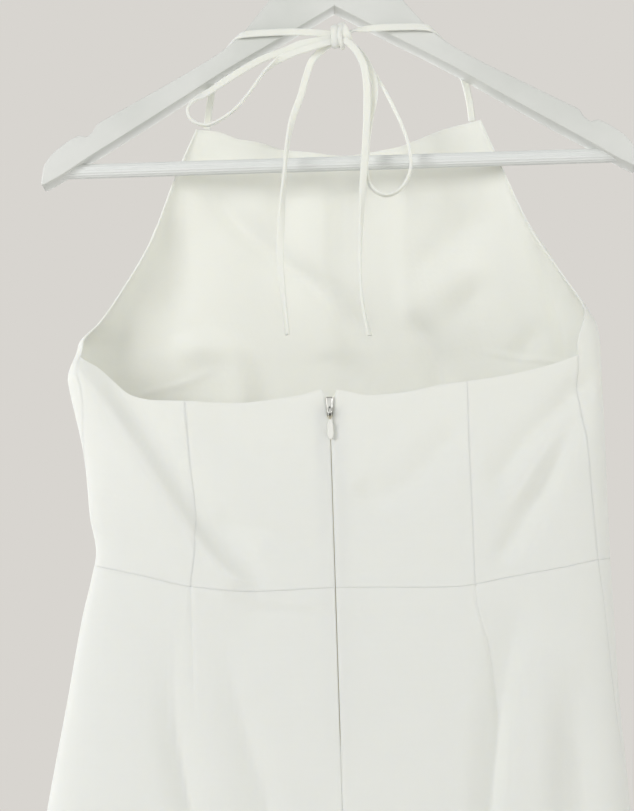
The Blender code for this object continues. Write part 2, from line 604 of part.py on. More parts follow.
def make_zip(tape_finish, metal, enamel):
    """The concealed zip: its tapes, its slider with an arch, and the teardrop pull that hangs in it."""
    make_tape("left", -1, tape_finish)
    make_tape("right", 1, tape_finish)
    cloth_face = zip_face_y()
    body_back = cloth_face + CLOTH_WALL
    body_face = body_back - SLIDER_DEPTH
    mesh = bmesh.new()
    for vert in box(mesh, (-0.5, body_face, SLIDER_END_Z), (0.5, body_back, SLIDER_TOP_Z)):
        wide = SLIDER_TOP_WIDTH if vert.co.z > (SLIDER_TOP_Z + SLIDER_END_Z) / 2 * MM else SLIDER_END_WIDTH
        vert.co.x = vert.co.x * wide + CENTRE_BACK_X * MM
    slider = add_object("zip_slider", mesh, metal)
    arch_face = body_face - ARCH_INNER_DEPTH - ARCH_BAR
    arch_low = SLIDER_END_Z
    mesh = bmesh.new()
    box(mesh, (CENTRE_BACK_X - ARCH_WIDTH / 2, arch_face, arch_low),
        (CENTRE_BACK_X + ARCH_WIDTH / 2, body_face + 0.5, arch_low + ARCH_HEIGHT))
    arch = add_object("slider_arch_outside", mesh, metal)
    mesh = bmesh.new()
    box(mesh, (CENTRE_BACK_X - ARCH_WIDTH, arch_face + ARCH_BAR, arch_low + ARCH_BAR),
        (CENTRE_BACK_X + ARCH_WIDTH, body_face, arch_low + ARCH_HEIGHT - ARCH_BAR))
    window = add_object("slider_arch_window", mesh, metal)
    apply_boolean(slider, "UNION", arch)
    apply_boolean(slider, "DIFFERENCE", window)
    hide_cutter(arch)
    hide_cutter(window)

    pivot = Vector((CENTRE_BACK_X,
                    body_face - ARCH_INNER_DEPTH / 2,
                    arch_low + ARCH_BAR + PULL_BAR_RADIUS + PULL_CLEARANCE))
    make_pull(enamel, pivot)


def make_pull(enamel, pivot):
    """The pull, about its own pivot: a teardrop, with a window at its top that the arch goes through."""
    opening = ARCH_WIDTH / 2 + PULL_CLEARANCE
    shoulder = opening + PULL_RAIL
    outline = Table(
        "z half", (0.55, shoulder), (-3, shoulder), (-6, shoulder + 0.15), (-9, 1.75), (-12, 2.2),
        (-14.5, 2.35), (-16.3, 1.9), (-PULL_LENGTH + 0.75, 0.9))
    heights = [0.55, -1.5, -3, -4.5, -6, -7.5, -9, -10.5, -12, -13.5, -14.8, -15.8, -16.6, -17.25]
    mesh = bmesh.new()
    right_side = [mesh.verts.new(Vector((outline.read("half", z), 0, z)) * MM) for z in heights]
    left_side = [mesh.verts.new(Vector((-outline.read("half", z), 0, z)) * MM) for z in reversed(heights)]
    face = mesh.faces.new(right_side + left_side)
    grown = bmesh.ops.extrude_face_region(mesh, geom=[face], use_keep_orig=True)
    outer = [item for item in grown["geom"] if isinstance(item, bmesh.types.BMVert)]
    bmesh.ops.translate(mesh, verts=outer, vec=(0, PULL_WALL * MM, 0))
    bmesh.ops.translate(mesh, verts=mesh.verts[:], vec=(0, -PULL_WALL / 2 * MM, 0))
    bmesh.ops.recalc_face_normals(mesh, faces=mesh.faces[:])
    pull = add_object("zip_pull", mesh, enamel)
    mesh = bmesh.new()
    box(mesh, (-opening, -PULL_WALL, -PULL_BAR_RADIUS - PULL_WINDOW_LENGTH),
        (opening, PULL_WALL, -PULL_BAR_RADIUS))
    window = add_object("pull_window", mesh, enamel)
    hide_cutter(window)
    for thing in (pull, window):
        thing.location = pivot * MM
    apply_boolean(pull, "DIFFERENCE", window)


def make_hanger(paint, sleeve, wire):
    """Two mitred arms, a round bar let into them, and a wire hook."""
    socket_mesh = bmesh.new()
    bmesh.ops.create_cone(
        socket_mesh, cap_ends=True, segments=20, radius1=(BAR_RADIUS + BAR_SOCKET_CLEARANCE) * MM,
        radius2=(BAR_RADIUS + BAR_SOCKET_CLEARANCE) * MM,
        depth=2 * (BAR_HALF_LENGTH + BAR_SOCKET_CLEARANCE) * MM)
    socket = add_object("bar_socket", socket_mesh, sleeve)
    bar_mesh = bmesh.new()
    bmesh.ops.create_cone(bar_mesh, cap_ends=True, segments=20, radius1=BAR_RADIUS * MM,
                          radius2=BAR_RADIUS * MM, depth=2 * BAR_HALF_LENGTH * MM)
    bar = add_object("hanger_bar", bar_mesh, sleeve)
    bar.data.shade_smooth()
    bar.data.set_sharp_from_angle(angle=SHARP_EDGE)
    for rod in (socket, bar):
        rod.rotation_euler = (0, math.radians(90), 0)
        rod.location = (0, 0, BAR_Z * MM)
    hide_cutter(socket)

    for name, way in (("hanger_arm_left", -1), ("hanger_arm_right", 1)):
        mesh = bmesh.new()
        corners = [mesh.verts.new(Vector((way * max(x, MITRE_GAP / 2), -ARM_THICKNESS / 2, z)) * MM)
                   for x, z in ARM_OUTLINE]
        face = mesh.faces.new(corners)
        grown = bmesh.ops.extrude_face_region(mesh, geom=[face], use_keep_orig=True)
        back = [item for item in grown["geom"] if isinstance(item, bmesh.types.BMVert)]
        bmesh.ops.translate(mesh, verts=back, vec=(0, ARM_THICKNESS * MM, 0))
        bmesh.ops.recalc_face_normals(mesh, faces=mesh.faces[:])
        arm = add_object(name, mesh, paint)
        rounded = arm.modifiers.new("Rounded edges", "BEVEL")
        rounded.width = ARM_BEVEL * MM
        rounded.segments = 2
        rounded.limit_method = "ANGLE"
        rounded.angle_limit = math.radians(60)
        apply_boolean(arm, "DIFFERENCE", socket)

    make_hook(wire)


def make_hook(wire):
    """The wire hook: a straight shank from the wood that bends out and round the rail."""
    radius = HOOK_INNER_RADIUS + HOOK_WIRE_RADIUS

    def round_hook(degrees):
        turn = math.radians(degrees)
        return Vector((radius * math.cos(turn), 0, radius * math.sin(turn) - HOOK_INNER_RADIUS))

    shank = Vector((0, 0, WOOD_TOP_Z + SEAM_GAP))
    knee = shank + Vector((0, 0, SHANK_STRAIGHT))
    join = round_hook(HOOK_JOINS)
    points = [shank, knee]
    for t in (0.33, 0.7):
        bulge = Vector((-math.sin(math.pi * t), 0, math.sin(math.pi * t) / 3)) * HOOK_WIRE_RADIUS
        points.append(blend(knee, join, t) + bulge)
    for i in range(HOOK_STEPS + 1):
        points.append(round_hook(blend(HOOK_JOINS, HOOK_ENDS, i / HOOK_STEPS)))
    curve = bpy.data.curves.new("hanger_hook", "CURVE")
    curve.dimensions = "3D"
    curve.bevel_depth = HOOK_WIRE_RADIUS * MM
    curve.bevel_resolution = 3
    curve.use_fill_caps = True
    spline = curve.splines.new("POLY")
    spline.points.add(len(points) - 1)
    for spot, point in zip(spline.points, points):
        spot.co = (*(point * MM), 1)
    curve.materials.append(wire)
    bpy.context.collection.objects.link(bpy.data.objects.new("hanger_hook", curve))


def main():
    """Clears the scene and makes the dress and its hanger."""
    for thing in list(bpy.data.objects):
        bpy.data.objects.remove(thing, do_unlink=True)
    cloth = material("ivory_cloth", (0.76, 0.77, 0.72), 0.85)
    tape = material("zip_tape_cloth", (0.68, 0.66, 0.56), 0.8)
    metal = material("zip_metal", (0.62, 0.62, 0.6), 0.35, 1.0)
    enamel = material("ivory_enamel", (0.78, 0.78, 0.73), 0.35)
    paint = material("white_wood_paint", (0.7, 0.73, 0.7), 0.45)
    sleeve = material("white_sleeve", (0.74, 0.76, 0.75), 0.4)
    wire = material("hook_chrome", (0.7, 0.7, 0.7), 0.15, 1.0)
    make_bodice(cloth)
    make_skirt(cloth)
    make_ties(cloth)
    make_zip(tape, metal, enamel)
    make_hanger(paint, sleeve, wire)


main()
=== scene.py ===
"""Looks of the halter dress on its painted wooden hanger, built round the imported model.

The tables and routes are in millimetres and follow the dress from the back: +X is to the right,
+Y runs to the front and +Z is up. The cloth is built as thin shells on the dress's own form.
"""

import json
import logging
import math
from dataclasses import dataclass, field
from enum import Enum
from typing import Callable

import bmesh
import bpy
import numpy as np
from mathutils import Matrix, Vector


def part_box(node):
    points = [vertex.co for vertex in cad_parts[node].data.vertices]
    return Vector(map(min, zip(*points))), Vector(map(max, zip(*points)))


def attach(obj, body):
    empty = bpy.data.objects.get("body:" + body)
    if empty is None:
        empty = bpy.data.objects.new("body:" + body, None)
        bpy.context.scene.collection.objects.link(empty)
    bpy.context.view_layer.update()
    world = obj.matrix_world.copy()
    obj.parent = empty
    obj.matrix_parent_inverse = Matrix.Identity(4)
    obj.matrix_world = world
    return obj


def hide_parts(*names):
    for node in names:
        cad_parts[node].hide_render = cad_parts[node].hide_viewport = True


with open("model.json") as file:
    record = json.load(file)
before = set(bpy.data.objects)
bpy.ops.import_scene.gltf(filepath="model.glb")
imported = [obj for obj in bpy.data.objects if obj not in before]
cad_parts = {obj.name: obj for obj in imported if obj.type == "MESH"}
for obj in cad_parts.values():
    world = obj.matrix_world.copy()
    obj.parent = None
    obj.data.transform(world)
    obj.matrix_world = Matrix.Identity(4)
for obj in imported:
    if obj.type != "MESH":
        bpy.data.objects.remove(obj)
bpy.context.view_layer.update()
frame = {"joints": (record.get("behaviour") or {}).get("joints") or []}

Array = np.ndarray
Levels = tuple[Array, ...]
Cloths = tuple[bpy.types.Material, bpy.types.Material]
MM = 0.001
BODY = "dress_on_hanger"
PULL_BODY = "zip_pull"
log = logging.getLogger("halter_dress")


class Table:
    """Rows of named columns in order of the first one, read on a smooth curve between the rows."""

    def __init__(self, columns: str, *rows: tuple, overshoot: bool = False) -> None:
        """Reads the rows.

        Args:
            columns: The columns' names with spaces between them.
            rows: The rows, in order of their first value.
            overshoot: Whether the curve may pass the rows that it joins.
        """
        keys = [row[0] for row in rows]
        self.way = 1 if keys[-1] > keys[0] else -1
        self.keys = np.array(keys, float) * self.way
        self.values = {name: np.array([row[i] for row in rows], float)
                       for i, name in enumerate(columns.split())}
        self.slopes = {name: self.tangents(column, overshoot) for name, column in self.values.items()}

    def tangents(self, column: Array, overshoot: bool) -> Array:
        """Works out the slope at each row.

        Args:
            column: The column's values.
            overshoot: Whether the curve may pass the rows that it joins.

        Returns:
            One slope for each row.
        """
        steps = np.diff(column) / np.diff(self.keys)
        before, after = steps[:-1], steps[1:]
        if overshoot:
            inner = (before + after) / 2
        else:
            same = before * after > 0
            total = np.where(same, before + after, 1.0)
            inner = np.where(same, 2 * before * after / total, 0.0)
        return np.concatenate((steps[:1], inner, steps[-1:]))

    def read(self, name: str, key: Array | float) -> Array:
        """Reads a column. Past the first or last row it stays as it is there.

        Args:
            name: The column's name.
            key: Where to read it, in the first column's unit.

        Returns:
            The column's values there.
        """
        keys, values, slopes = self.keys, self.values[name], self.slopes[name]
        key = np.clip(np.asarray(key, float) * self.way, keys[0], keys[-1])
        i = np.clip(np.searchsorted(keys, key, side="right") - 1, 0, len(keys) - 2)
        span = keys[i + 1] - keys[i]
        t = (key - keys[i]) / span
        rise = t * t * (3 - 2 * t)
        return (values[i] * (1 - rise) + values[i + 1] * rise
                + span * slopes[i] * t * (1 - t) ** 2 - span * slopes[i + 1] * t * t * (1 - t))


def smoothstep(t: Array) -> Array:
    """An even rise from 0 to 1."""
    t = np.clip(t, 0.0, 1.0)
    return t * t * (3 - 2 * t)


def between(levels: Levels, line: Array) -> Array:
    """Reads a value between levels.

    Args:
        levels: The value at line 0, 1 and so on.
        line: Where to read it.

    Returns:
        The values on the lines.
    """
    value = levels[0]
    for i, (low, high) in enumerate(zip(levels, levels[1:])):
        value = value + (high - low) * np.clip(line - i, 0, 1)
    return value


def crowded(count: int, stretches: int = 1, crowding: float = 0.8) -> Array:
    """Grid lines that crowd towards the ends of each stretch, where seams and edges turn.

    Args:
        count: Steps in one stretch.
        stretches: Stretches, one after another.
        crowding: 0 for even steps, towards 1 for ever closer ones at the ends.

    Returns:
        The lines, from 0 to the number of stretches.
    """
    t = np.linspace(0, stretches, count * stretches + 1)
    return t - crowding * np.sin(2 * np.pi * t) / (2 * np.pi)


@dataclass(frozen=True)
class Fold:
    """A fold of the cloth along a route of x and z, with its height, widths and fades in mm."""

    height: float
    left: float
    right: float
    start: float
    end: float
    route: tuple[tuple[float, float], ...]
    roundness: float = 2.0

    def smooth_route(self) -> list[tuple[float, float]]:
        """Lays a smooth line through the route's places.

        Returns:
            Its points, five to a stretch.
        """
        curve = Table("knot x z", *[(i, *spot) for i, spot in enumerate(self.route)], overshoot=True)
        places = np.linspace(0, len(self.route) - 1, 5 * (len(self.route) - 1) + 1)
        return list(zip(curve.read("x", places), curve.read("z", places)))

    def lift(self, x: Array, z: Array) -> Array:
        """Works out how far the fold moves the cloth out.

        Args:
            x: Places across the dress.
            z: Their heights.

        Returns:
            The distances out, in mm.
        """
        nearest = np.full(x.shape, np.inf)
        on_left = np.zeros(x.shape, bool)
        place = np.zeros(x.shape)
        passed = 0.0
        route = self.smooth_route()
        for (ax, az), (bx, bz) in zip(route, route[1:]):
            length = math.dist((ax, az), (bx, bz))
            dx, dz = (bx - ax) / length, (bz - az) / length
            along = np.clip((x - ax) * dx + (z - az) * dz, 0, length)
            away = np.hypot(x - ax - dx * along, z - az - dz * along)
            closer = away < nearest
            nearest = np.where(closer, away, nearest)
            on_left = np.where(closer, (z - az) * dx - (x - ax) * dz > 0, on_left)
            place = np.where(closer, passed + along, place)
            passed += length
        width = np.where(on_left, self.left, self.right)
        fade = smoothstep(place / self.start) * smoothstep((passed - place) / self.end)
        return self.height * fade * np.exp(-(nearest / width) ** self.roundness)


# Level sections of the dress. left and right are its outline, side_y, front_y and back_y its
# depth. The side seams turn on to the back by left_turn and right_turn degrees. Above the
# underarm only the front is cloth, and left and right are its armhole edges.
SECTIONS = Table(
    "z     left    right  side_y front_y back_y left_turn right_turn",
    (-188, -106.5, 107.5, 15, 20, -20, 0, 0),
    (-227, -124.0, 122.5, 13, 27, -30, 0, 0),
    (-276, -143.0, 142.0, 8, 34, -36, 0, 0),
    (-320, -168.0, 167.0, 2, 39, -40, 2, 4),
    (-341, -182.0, 179.5, -3, 41, -43, 6, 12),
    (-357, -196.5, 186.0, -6, 42, -45, 13, 24),
    (-372, -198.5, 187.0, -6, 43, -46, 16, 28),
    (-395, -197.5, 187.0, -6, 43, -46, 20, 28),
    (-442, -192.5, 187.0, -6, 41, -46, 8, 25),
    (-483, -190.0, 186.5, -6, 39, -46, 3, 23),
    (-509, -186.0, 186.5, -6, 38, -46, 1, 22),
    (-530, -190.0, 186.6, -6, 39, -46, 0, 21),
    (-554, -196.3, 187.0, -5, 41, -48, 0, 19),
    (-617, -208.9, 188.1, -4, 48, -53, 0, 15),
    (-694, -224.6, 192.0, -3, 55, -60, 0, 9),
    (-800, -243.0, 198.0, -2, 62, -68, 0, 5),
    (-925, -263.0, 205.0, -1, 69, -75, 0, 2),
    (-1060, -284.0, 211.0, 0, 75, -82, 0, 0),
)

# Heights of the cut edges across the dress
NECKLINE = Table(
    "x z", (-107, -190), (-92, -191.5), (-75, -197.5), (-63, -199.5), (-40, -205.5), (8, -211),
    (46, -206.5), (58, -202.5), (82, -194.5), (108, -189.5))
BACK_TOP = Table(
    "x z", (-197, -361), (-192, -368), (-181, -377), (-170, -388), (-158, -398), (-140, -403),
    (-121, -404.5), (-78, -408), (-34, -404), (-20, -400.5), (-8, -401), (16, -405.5),
    (37, -404.5), (66, -399.5), (110, -394), (156, -383), (180, -371), (187, -364))
WAIST = Table(
    "x back front", (-190, -519, -519), (-150, -529, -526), (-115, -538, -531), (-69, -543, -535),
    (-15, -542, -538), (68, -544, -537), (117, -537, -533), (150, -532, -530), (176, -527, -527),
    (190, -525, -525))

# Seams down the back, which the darts of the skirt carry on, and half the gap that the zip shows in
SHAPING_SEAMS = Table(
    "z left right", (-395, -118, 85.5), (-450, -115, 85.5), (-508, -111, 85.5), (-545, -116, 85.5),
    (-591, -116, 94), (-640, -115, 99), (-800, -116, 103), (-1060, -120, 108))
ZIP_GAP = Table(
    "z half", (-398, 6.0), (-402, 5.0), (-406, 2.9), (-412, 2.5), (-419, 2.1), (-425, 0.5),
    (-440, 0.32), (-640, 0.32), (-656, 0.1), (-1060, 0.1))

# The main folds, in the order of the dress's own solids, and after them the finer creases
BACK_FOLDS = (
    Fold(10, 7.5, 25, 25, 22,
         ((-200, -360), (-183, -389), (-152, -436), (-117, -494), (-88, -530), (-66, -540)), 1.5),
    Fold(-5.5, 17, 10, 25, 30,
         ((-190, -355), (-173, -383), (-142, -430), (-107, -488), (-80, -520), (-62, -527))),
    Fold(-3, 14, 14, 30, 30, ((-116, -412), (-61, -447), (-12, -470))),
    Fold(-3, 10, 12, 20, 20, ((-104, -488), (-52, -504), (-14, -518))),
    Fold(-5.5, 14, 14, 25, 25, ((86, -424), (46, -465), (20, -478), (-10, -478))),
    Fold(-6, 10, 11, 20, 25, ((186, -392), (166, -408), (142, -431), (121, -450), (94, -482))),
    Fold(5, 9, 9, 20, 25, ((178, -402), (160, -424), (137, -452), (110, -492))),
    Fold(-6, 9, 10, 20, 20, ((178, -407), (159, -431), (143, -462), (116, -510), (98, -533))),
    Fold(-2.2, 5, 9, 20, 15, ((-80, -556), (-42, -558), (-10, -563))),
    Fold(-9, 16, 12, 110, 1, ((-129, -558), (-133, -617), (-121, -686), (-100, -800), (-84, -1080))),
    Fold(6, 14, 14, 130, 1, ((-112, -590), (-112, -650), (-104, -720), (-80, -850), (-58, -1080))),
    Fold(-7, 12, 14, 90, 1, ((-99, -568), (-88, -613), (-68, -688), (-35, -850), (-12, -1080))),
    Fold(6, 18, 14, 160, 1, ((72, -600), (70, -700), (58, -850), (44, -1080))),
    Fold(-8, 8, 16, 60, 1, ((120, -540), (109, -591), (88, -701), (76, -850), (66, -1080))),
    Fold(5, 20, 20, 90, 1, ((128, -575), (122, -700), (114, -860), (106, -1080))),
    Fold(-8, 16, 16, 90, 1, ((148, -585), (151, -653), (150, -860), (150, -1080))),
    Fold(-1.6, 3.5, 7, 30, 30, ((-176, -389), (-146, -436), (-111, -494), (-82, -532)), 1.6),
    Fold(-2.2, 3.5, 6, 40, 1,
         ((-129, -556), (-133, -617), (-127, -659), (-121, -686), (-108, -760), (-100, -830)), 1.6),
    Fold(-1.1, 4, 4, 30, 90, ((-99, -566), (-88, -613), (-78, -660), (-68, -688), (-50, -770)), 1.6),
    Fold(-1.3, 6, 3, 20, 90, ((90, -545), (95, -591), (99, -638), (92, -690), (84, -760)), 1.6),
    Fold(0.8, 5, 5, 10, 10, ((-6, -468), (4, -466), (15, -464))),
    Fold(-0.7, 4, 5, 8, 8, ((-8, -504), (11, -498))),
    Fold(-0.6, 4, 4, 6, 6, ((1, -534), (16, -529))),
    Fold(-0.9, 4, 6, 10, 10, ((-8, -559), (12, -560))),
)
FRONT_FOLDS = (
    Fold(-4.5, 18, 26, 20, 60, ((-172, -360), (-130, -364), (-102, -374), (-94, -400), (-94, -450))),
    Fold(-6, 10, 12, 25, 60,
         ((-135, -352), (-105, -354), (-87, -361), (-79, -378), (-78, -400), (-80, -450))),
    Fold(7, 9, 10, 45, 45, ((-108, -222), (-78, -260), (-42, -293), (-16, -312), (4, -335), (24, -372))),
    Fold(5, 7, 10, 25, 45, ((47, -328), (64, -357), (75, -383), (80, -420))),
    Fold(-4, 14, 15, 30, 30, ((44, -345), (62, -328), (84, -309), (112, -286))),
    Fold(5, 14, 14, 35, 35, ((116, -242), (93, -269), (70, -291), (42, -308))),
    Fold(3, 10, 10, 24, 24, ((112, -306), (91, -329), (76, -345))),
    Fold(5, 10, 6, 45, 60, ((136, -250), (148, -290), (156, -325), (164, -365), (166, -400))),
    Fold(3, 9, 9, 22, 22, ((156, -338), (141, -357), (122, -382))),
    Fold(5, 16, 16, 30, 30, ((-134, -250), (-124, -294), (-130, -317), (-146, -340))),
    Fold(4, 12, 12, 5, 40, ((3, -200), (5, -257), (0, -320))),
    Fold(4, 12, 12, 5, 40, ((-42, -200), (-44, -250), (-46, -300))),
    Fold(4, 8, 8, 15, 20, ((-12, -358), (7, -381), (18, -410))),
    Fold(-8, 20, 20, 130, 1, ((-120, -580), (-124, -700), (-130, -1080))),
    Fold(-7, 20, 20, 150, 1, ((-40, -600), (-44, -750), (-50, -1080))),
    Fold(-8, 22, 20, 130, 1, ((52, -580), (56, -700), (60, -1080))),
    Fold(-7, 18, 18, 150, 1, ((128, -600), (134, -750), (142, -1080))),
    Fold(1.0, 3, 5, 25, 25, ((-60, -276), (-42, -291), (-16, -311), (2, -332), (14, -352))),
    Fold(-0.9, 2.2, 2.2, 6, 20, ((-196, -398), (-154, -390), (-118, -380), (-95, -367))),
    Fold(-0.9, 2.2, 2.2, 6, 20, ((186, -384), (151, -374), (132, -371), (100, -362))),
)
# How far round the side, as a sine, folds of the front and back fade out
SIDE_FADE = 0.15


@dataclass(frozen=True)
class DressForm:
    """The shape that the cloth hangs in, with its folds. Sizes in mm."""

    roundness: float = 2.4
    centre_back_x: float = -13.5
    hem_z: float = -1050.0
    hem_rise: float = 8.0
    dart_end_z: float = -645.0
    dart_depth: float = 0.8
    dart_width: float = 1.6
    dart_fade: float = 60.0
    slack: float = 0.14
    probe_degrees: float = 0.5

    def ring(self, z: Array, angle: Array) -> tuple[Array, Array]:
        """Finds the plain form at a height.

        Args:
            z: Heights.
            angle: Degrees round the dress: 0 is the right side, 90 the front and 270 the back.

        Returns:
            The x and y of those places.
        """
        left, right = SECTIONS.read("left", z), SECTIONS.read("right", z)
        side = SECTIONS.read("side_y", z)
        cosine, sine = np.cos(np.radians(angle)), np.sin(np.radians(angle))
        centre = np.where(sine > 0, SECTIONS.read("front_y", z), SECTIONS.read("back_y", z))
        power = 2 / self.roundness
        x = (left + right) / 2 + (right - left) / 2 * np.sign(cosine) * np.abs(cosine) ** power
        return x, side + (centre - side) * np.abs(sine) ** power

    def angle_at(self, z: Array, x: Array, front: bool = False) -> Array:
        """Finds how far round the dress a place lies.

        Args:
            z: Heights.
            x: Places across.
            front: Whether the place is on the front.

        Returns:
            The angles in degrees.
        """
        left, right = SECTIONS.read("left", z), SECTIONS.read("right", z)
        share = np.clip((x - (left + right) / 2) / ((right - left) / 2), -1, 1)
        turn = np.degrees(np.arccos(np.sign(share) * np.abs(share) ** (self.roundness / 2)))
        return turn if front else 360 - turn

    def outward(self, z: Array, angle: Array) -> Array:
        """Finds the level way out of the plain form.

        Args:
            z: Heights.
            angle: Degrees round the dress.

        Returns:
            Unit vectors.
        """
        ahead_x, ahead_y = self.ring(z, angle + self.probe_degrees)
        behind_x, behind_y = self.ring(z, angle - self.probe_degrees)
        way = np.stack((ahead_y - behind_y, behind_x - ahead_x, np.zeros_like(ahead_x)), -1)
        return way / np.linalg.norm(way, axis=-1, keepdims=True)

    def dart_groove(self, x: Array, z: Array) -> Array:
        """Works out the sunk line of the skirt's two back darts, which end at a point.

        Args:
            x: Places across the dress.
            z: Their heights.

        Returns:
            The distances out in mm, which are below 0 in a dart.
        """
        waist = WAIST.read("back", x)
        depth = smoothstep((z - self.dart_end_z) / self.dart_fade) * (z < waist)
        grooves = sum(np.exp(-((x - SHAPING_SEAMS.read(side, z)) / self.dart_width) ** 2)
                      for side in ("left", "right"))
        return -self.dart_depth * depth * grooves

    def ease(self, x: Array, z: Array) -> Array:
        """The slight unevenness of cloth that hangs free."""
        return self.slack * (np.sin(x / 23 + z / 47) * np.sin(z / 61 + 1.1)
                             + 0.7 * np.sin(x / 13.7 - z / 29 + 2.0) * np.sin(x / 83 + z / 71))

    def skin(self, z: Array, angle: Array) -> Array:
        """Finds the middle of the cloth, with its folds.

        Args:
            z: Heights.
            angle: Degrees round the dress.

        Returns:
            The places, as arrays of x, y and z.
        """
        x, y = self.ring(z, angle)
        sine = np.sin(np.radians(angle))
        front = sum(fold.lift(x, z) for fold in FRONT_FOLDS) + self.ease(x, z)
        back = sum(fold.lift(x, z) for fold in BACK_FOLDS) + self.ease(-x, z) + self.dart_groove(x, z)
        lift = np.where(sine > 0, front, back) * smoothstep(np.abs(sine) / SIDE_FADE)
        return np.stack((x, y, z), -1) + self.outward(z, angle) * lift[..., None]

    def plain(self, z: Array, angle: Array) -> Array:
        """The form without its folds, as its maker lays it out flat to cut it."""
        return np.stack((*self.ring(z, angle), z), -1)

    def side_seam(self, z: Array, side: str) -> Array:
        """The angle of the left or right side seam, and above it of the armhole."""
        turn = SECTIONS.read(side + "_turn", z)
        return 180 + turn if side == "left" else 360 - turn

    def shaping_seam(self, z: Array, side: str) -> Array:
        """The angle of a seam that shapes the back."""
        return self.angle_at(z, SHAPING_SEAMS.read(side, z))

    def zip_edge(self, z: Array, side: int) -> Array:
        """The angle of the cloth's edge on one side of the zip."""
        return self.angle_at(z, self.centre_back_x + side * ZIP_GAP.read("half", z))

    def hem(self, x: Array) -> Array:
        """The hem's height, a little higher at the sides."""
        return self.hem_z + self.hem_rise * (x / SECTIONS.read("left", self.hem_z)) ** 2

    def seam_top(self, side: str) -> tuple[float, float]:
        """Finds where a side seam meets the top of the back.

        Args:
            side: Which side seam, left or right.

        Returns:
            The x and z of that corner.
        """
        z = BACK_TOP.read("z", 0)
        for _ in range(12):
            x, _y = self.ring(z, self.side_seam(z, side))
            z = BACK_TOP.read("z", x)
        return float(x), float(z)


FORM = DressForm()


def ink(code: str) -> tuple[float, float, float, float]:
    """Turns an sRGB hex colour to the linear one that shaders take.

    Args:
        code: Six hex digits.

    Returns:
        Red, green, blue and a full alpha.
    """
    parts = [int(code[i:i + 2], 16) / 255 for i in (0, 2, 4)]
    linear = [part / 12.92 if part <= 0.04045 else ((part + 0.055) / 1.055) ** 2.4 for part in parts]
    return (*linear, 1.0)


def add_node(tree: bpy.types.NodeTree, kind: str, inputs: dict | None = None, **settings) -> bpy.types.Node:
    """Adds a shader node.

    Args:
        tree: The material's node tree.
        kind: The node's type, without its first words.
        inputs: Values for its sockets, or sockets of other nodes to link to them.
        settings: The node's own settings.

    Returns:
        The node.
    """
    node = tree.nodes.new("ShaderNode" + kind)
    for name, value in settings.items():
        setattr(node, name, value)
    for name, value in (inputs or {}).items():
        if isinstance(value, bpy.types.NodeSocket):
            tree.links.new(value, node.inputs[name])
        else:
            node.inputs[name].default_value = value
    return node


@dataclass(frozen=True)
class Finish:
    """What every finish has: a name, the record's slot, its colour and how it takes the light."""

    name: str
    slot: str
    colour: str
    roughness: float
    metallic: float = 0.0

    def shader(self) -> tuple[bpy.types.Material, bpy.types.NodeTree, bpy.types.Node]:
        """Starts the material with a plain shader.

        Returns:
            The material, its node tree and its shader node.
        """
        material = bpy.data.materials.new(self.name)
        material.use_nodes = True
        tree = material.node_tree
        shader = tree.nodes["Principled BSDF"]
        shader.inputs["Base Color"].default_value = ink(self.colour)
        shader.inputs["Roughness"].default_value = self.roughness
        shader.inputs["Metallic"].default_value = self.metallic
        return material, tree, shader

    def vary(self, tree: bpy.types.NodeTree, shader: bpy.types.Node, place: bpy.types.NodeSocket,
             other: str, spot_mm: float) -> None:
        """Lets the colour drift towards another one in soft patches.

        Args:
            tree: The material's node tree.
            shader: Its shader node.
            place: The coordinates that the patches follow, in metres.
            other: The other colour, in hex.
            spot_mm: The patches' size.
        """
        patches = add_node(tree, "TexNoise", {"Vector": place, "Scale": 1 / (spot_mm * MM), "Detail": 3.0})
        drift = add_node(tree, "MapRange", {"Value": patches.outputs["Fac"], "From Min": 0.35,
                                            "From Max": 0.65})
        colour = add_node(tree, "Mix", {"Factor": drift.outputs["Result"]}, data_type="RGBA")
        colour.inputs[6].default_value = ink(self.colour)
        colour.inputs[7].default_value = ink(other)
        tree.links.new(colour.outputs[2], shader.inputs["Base Color"])


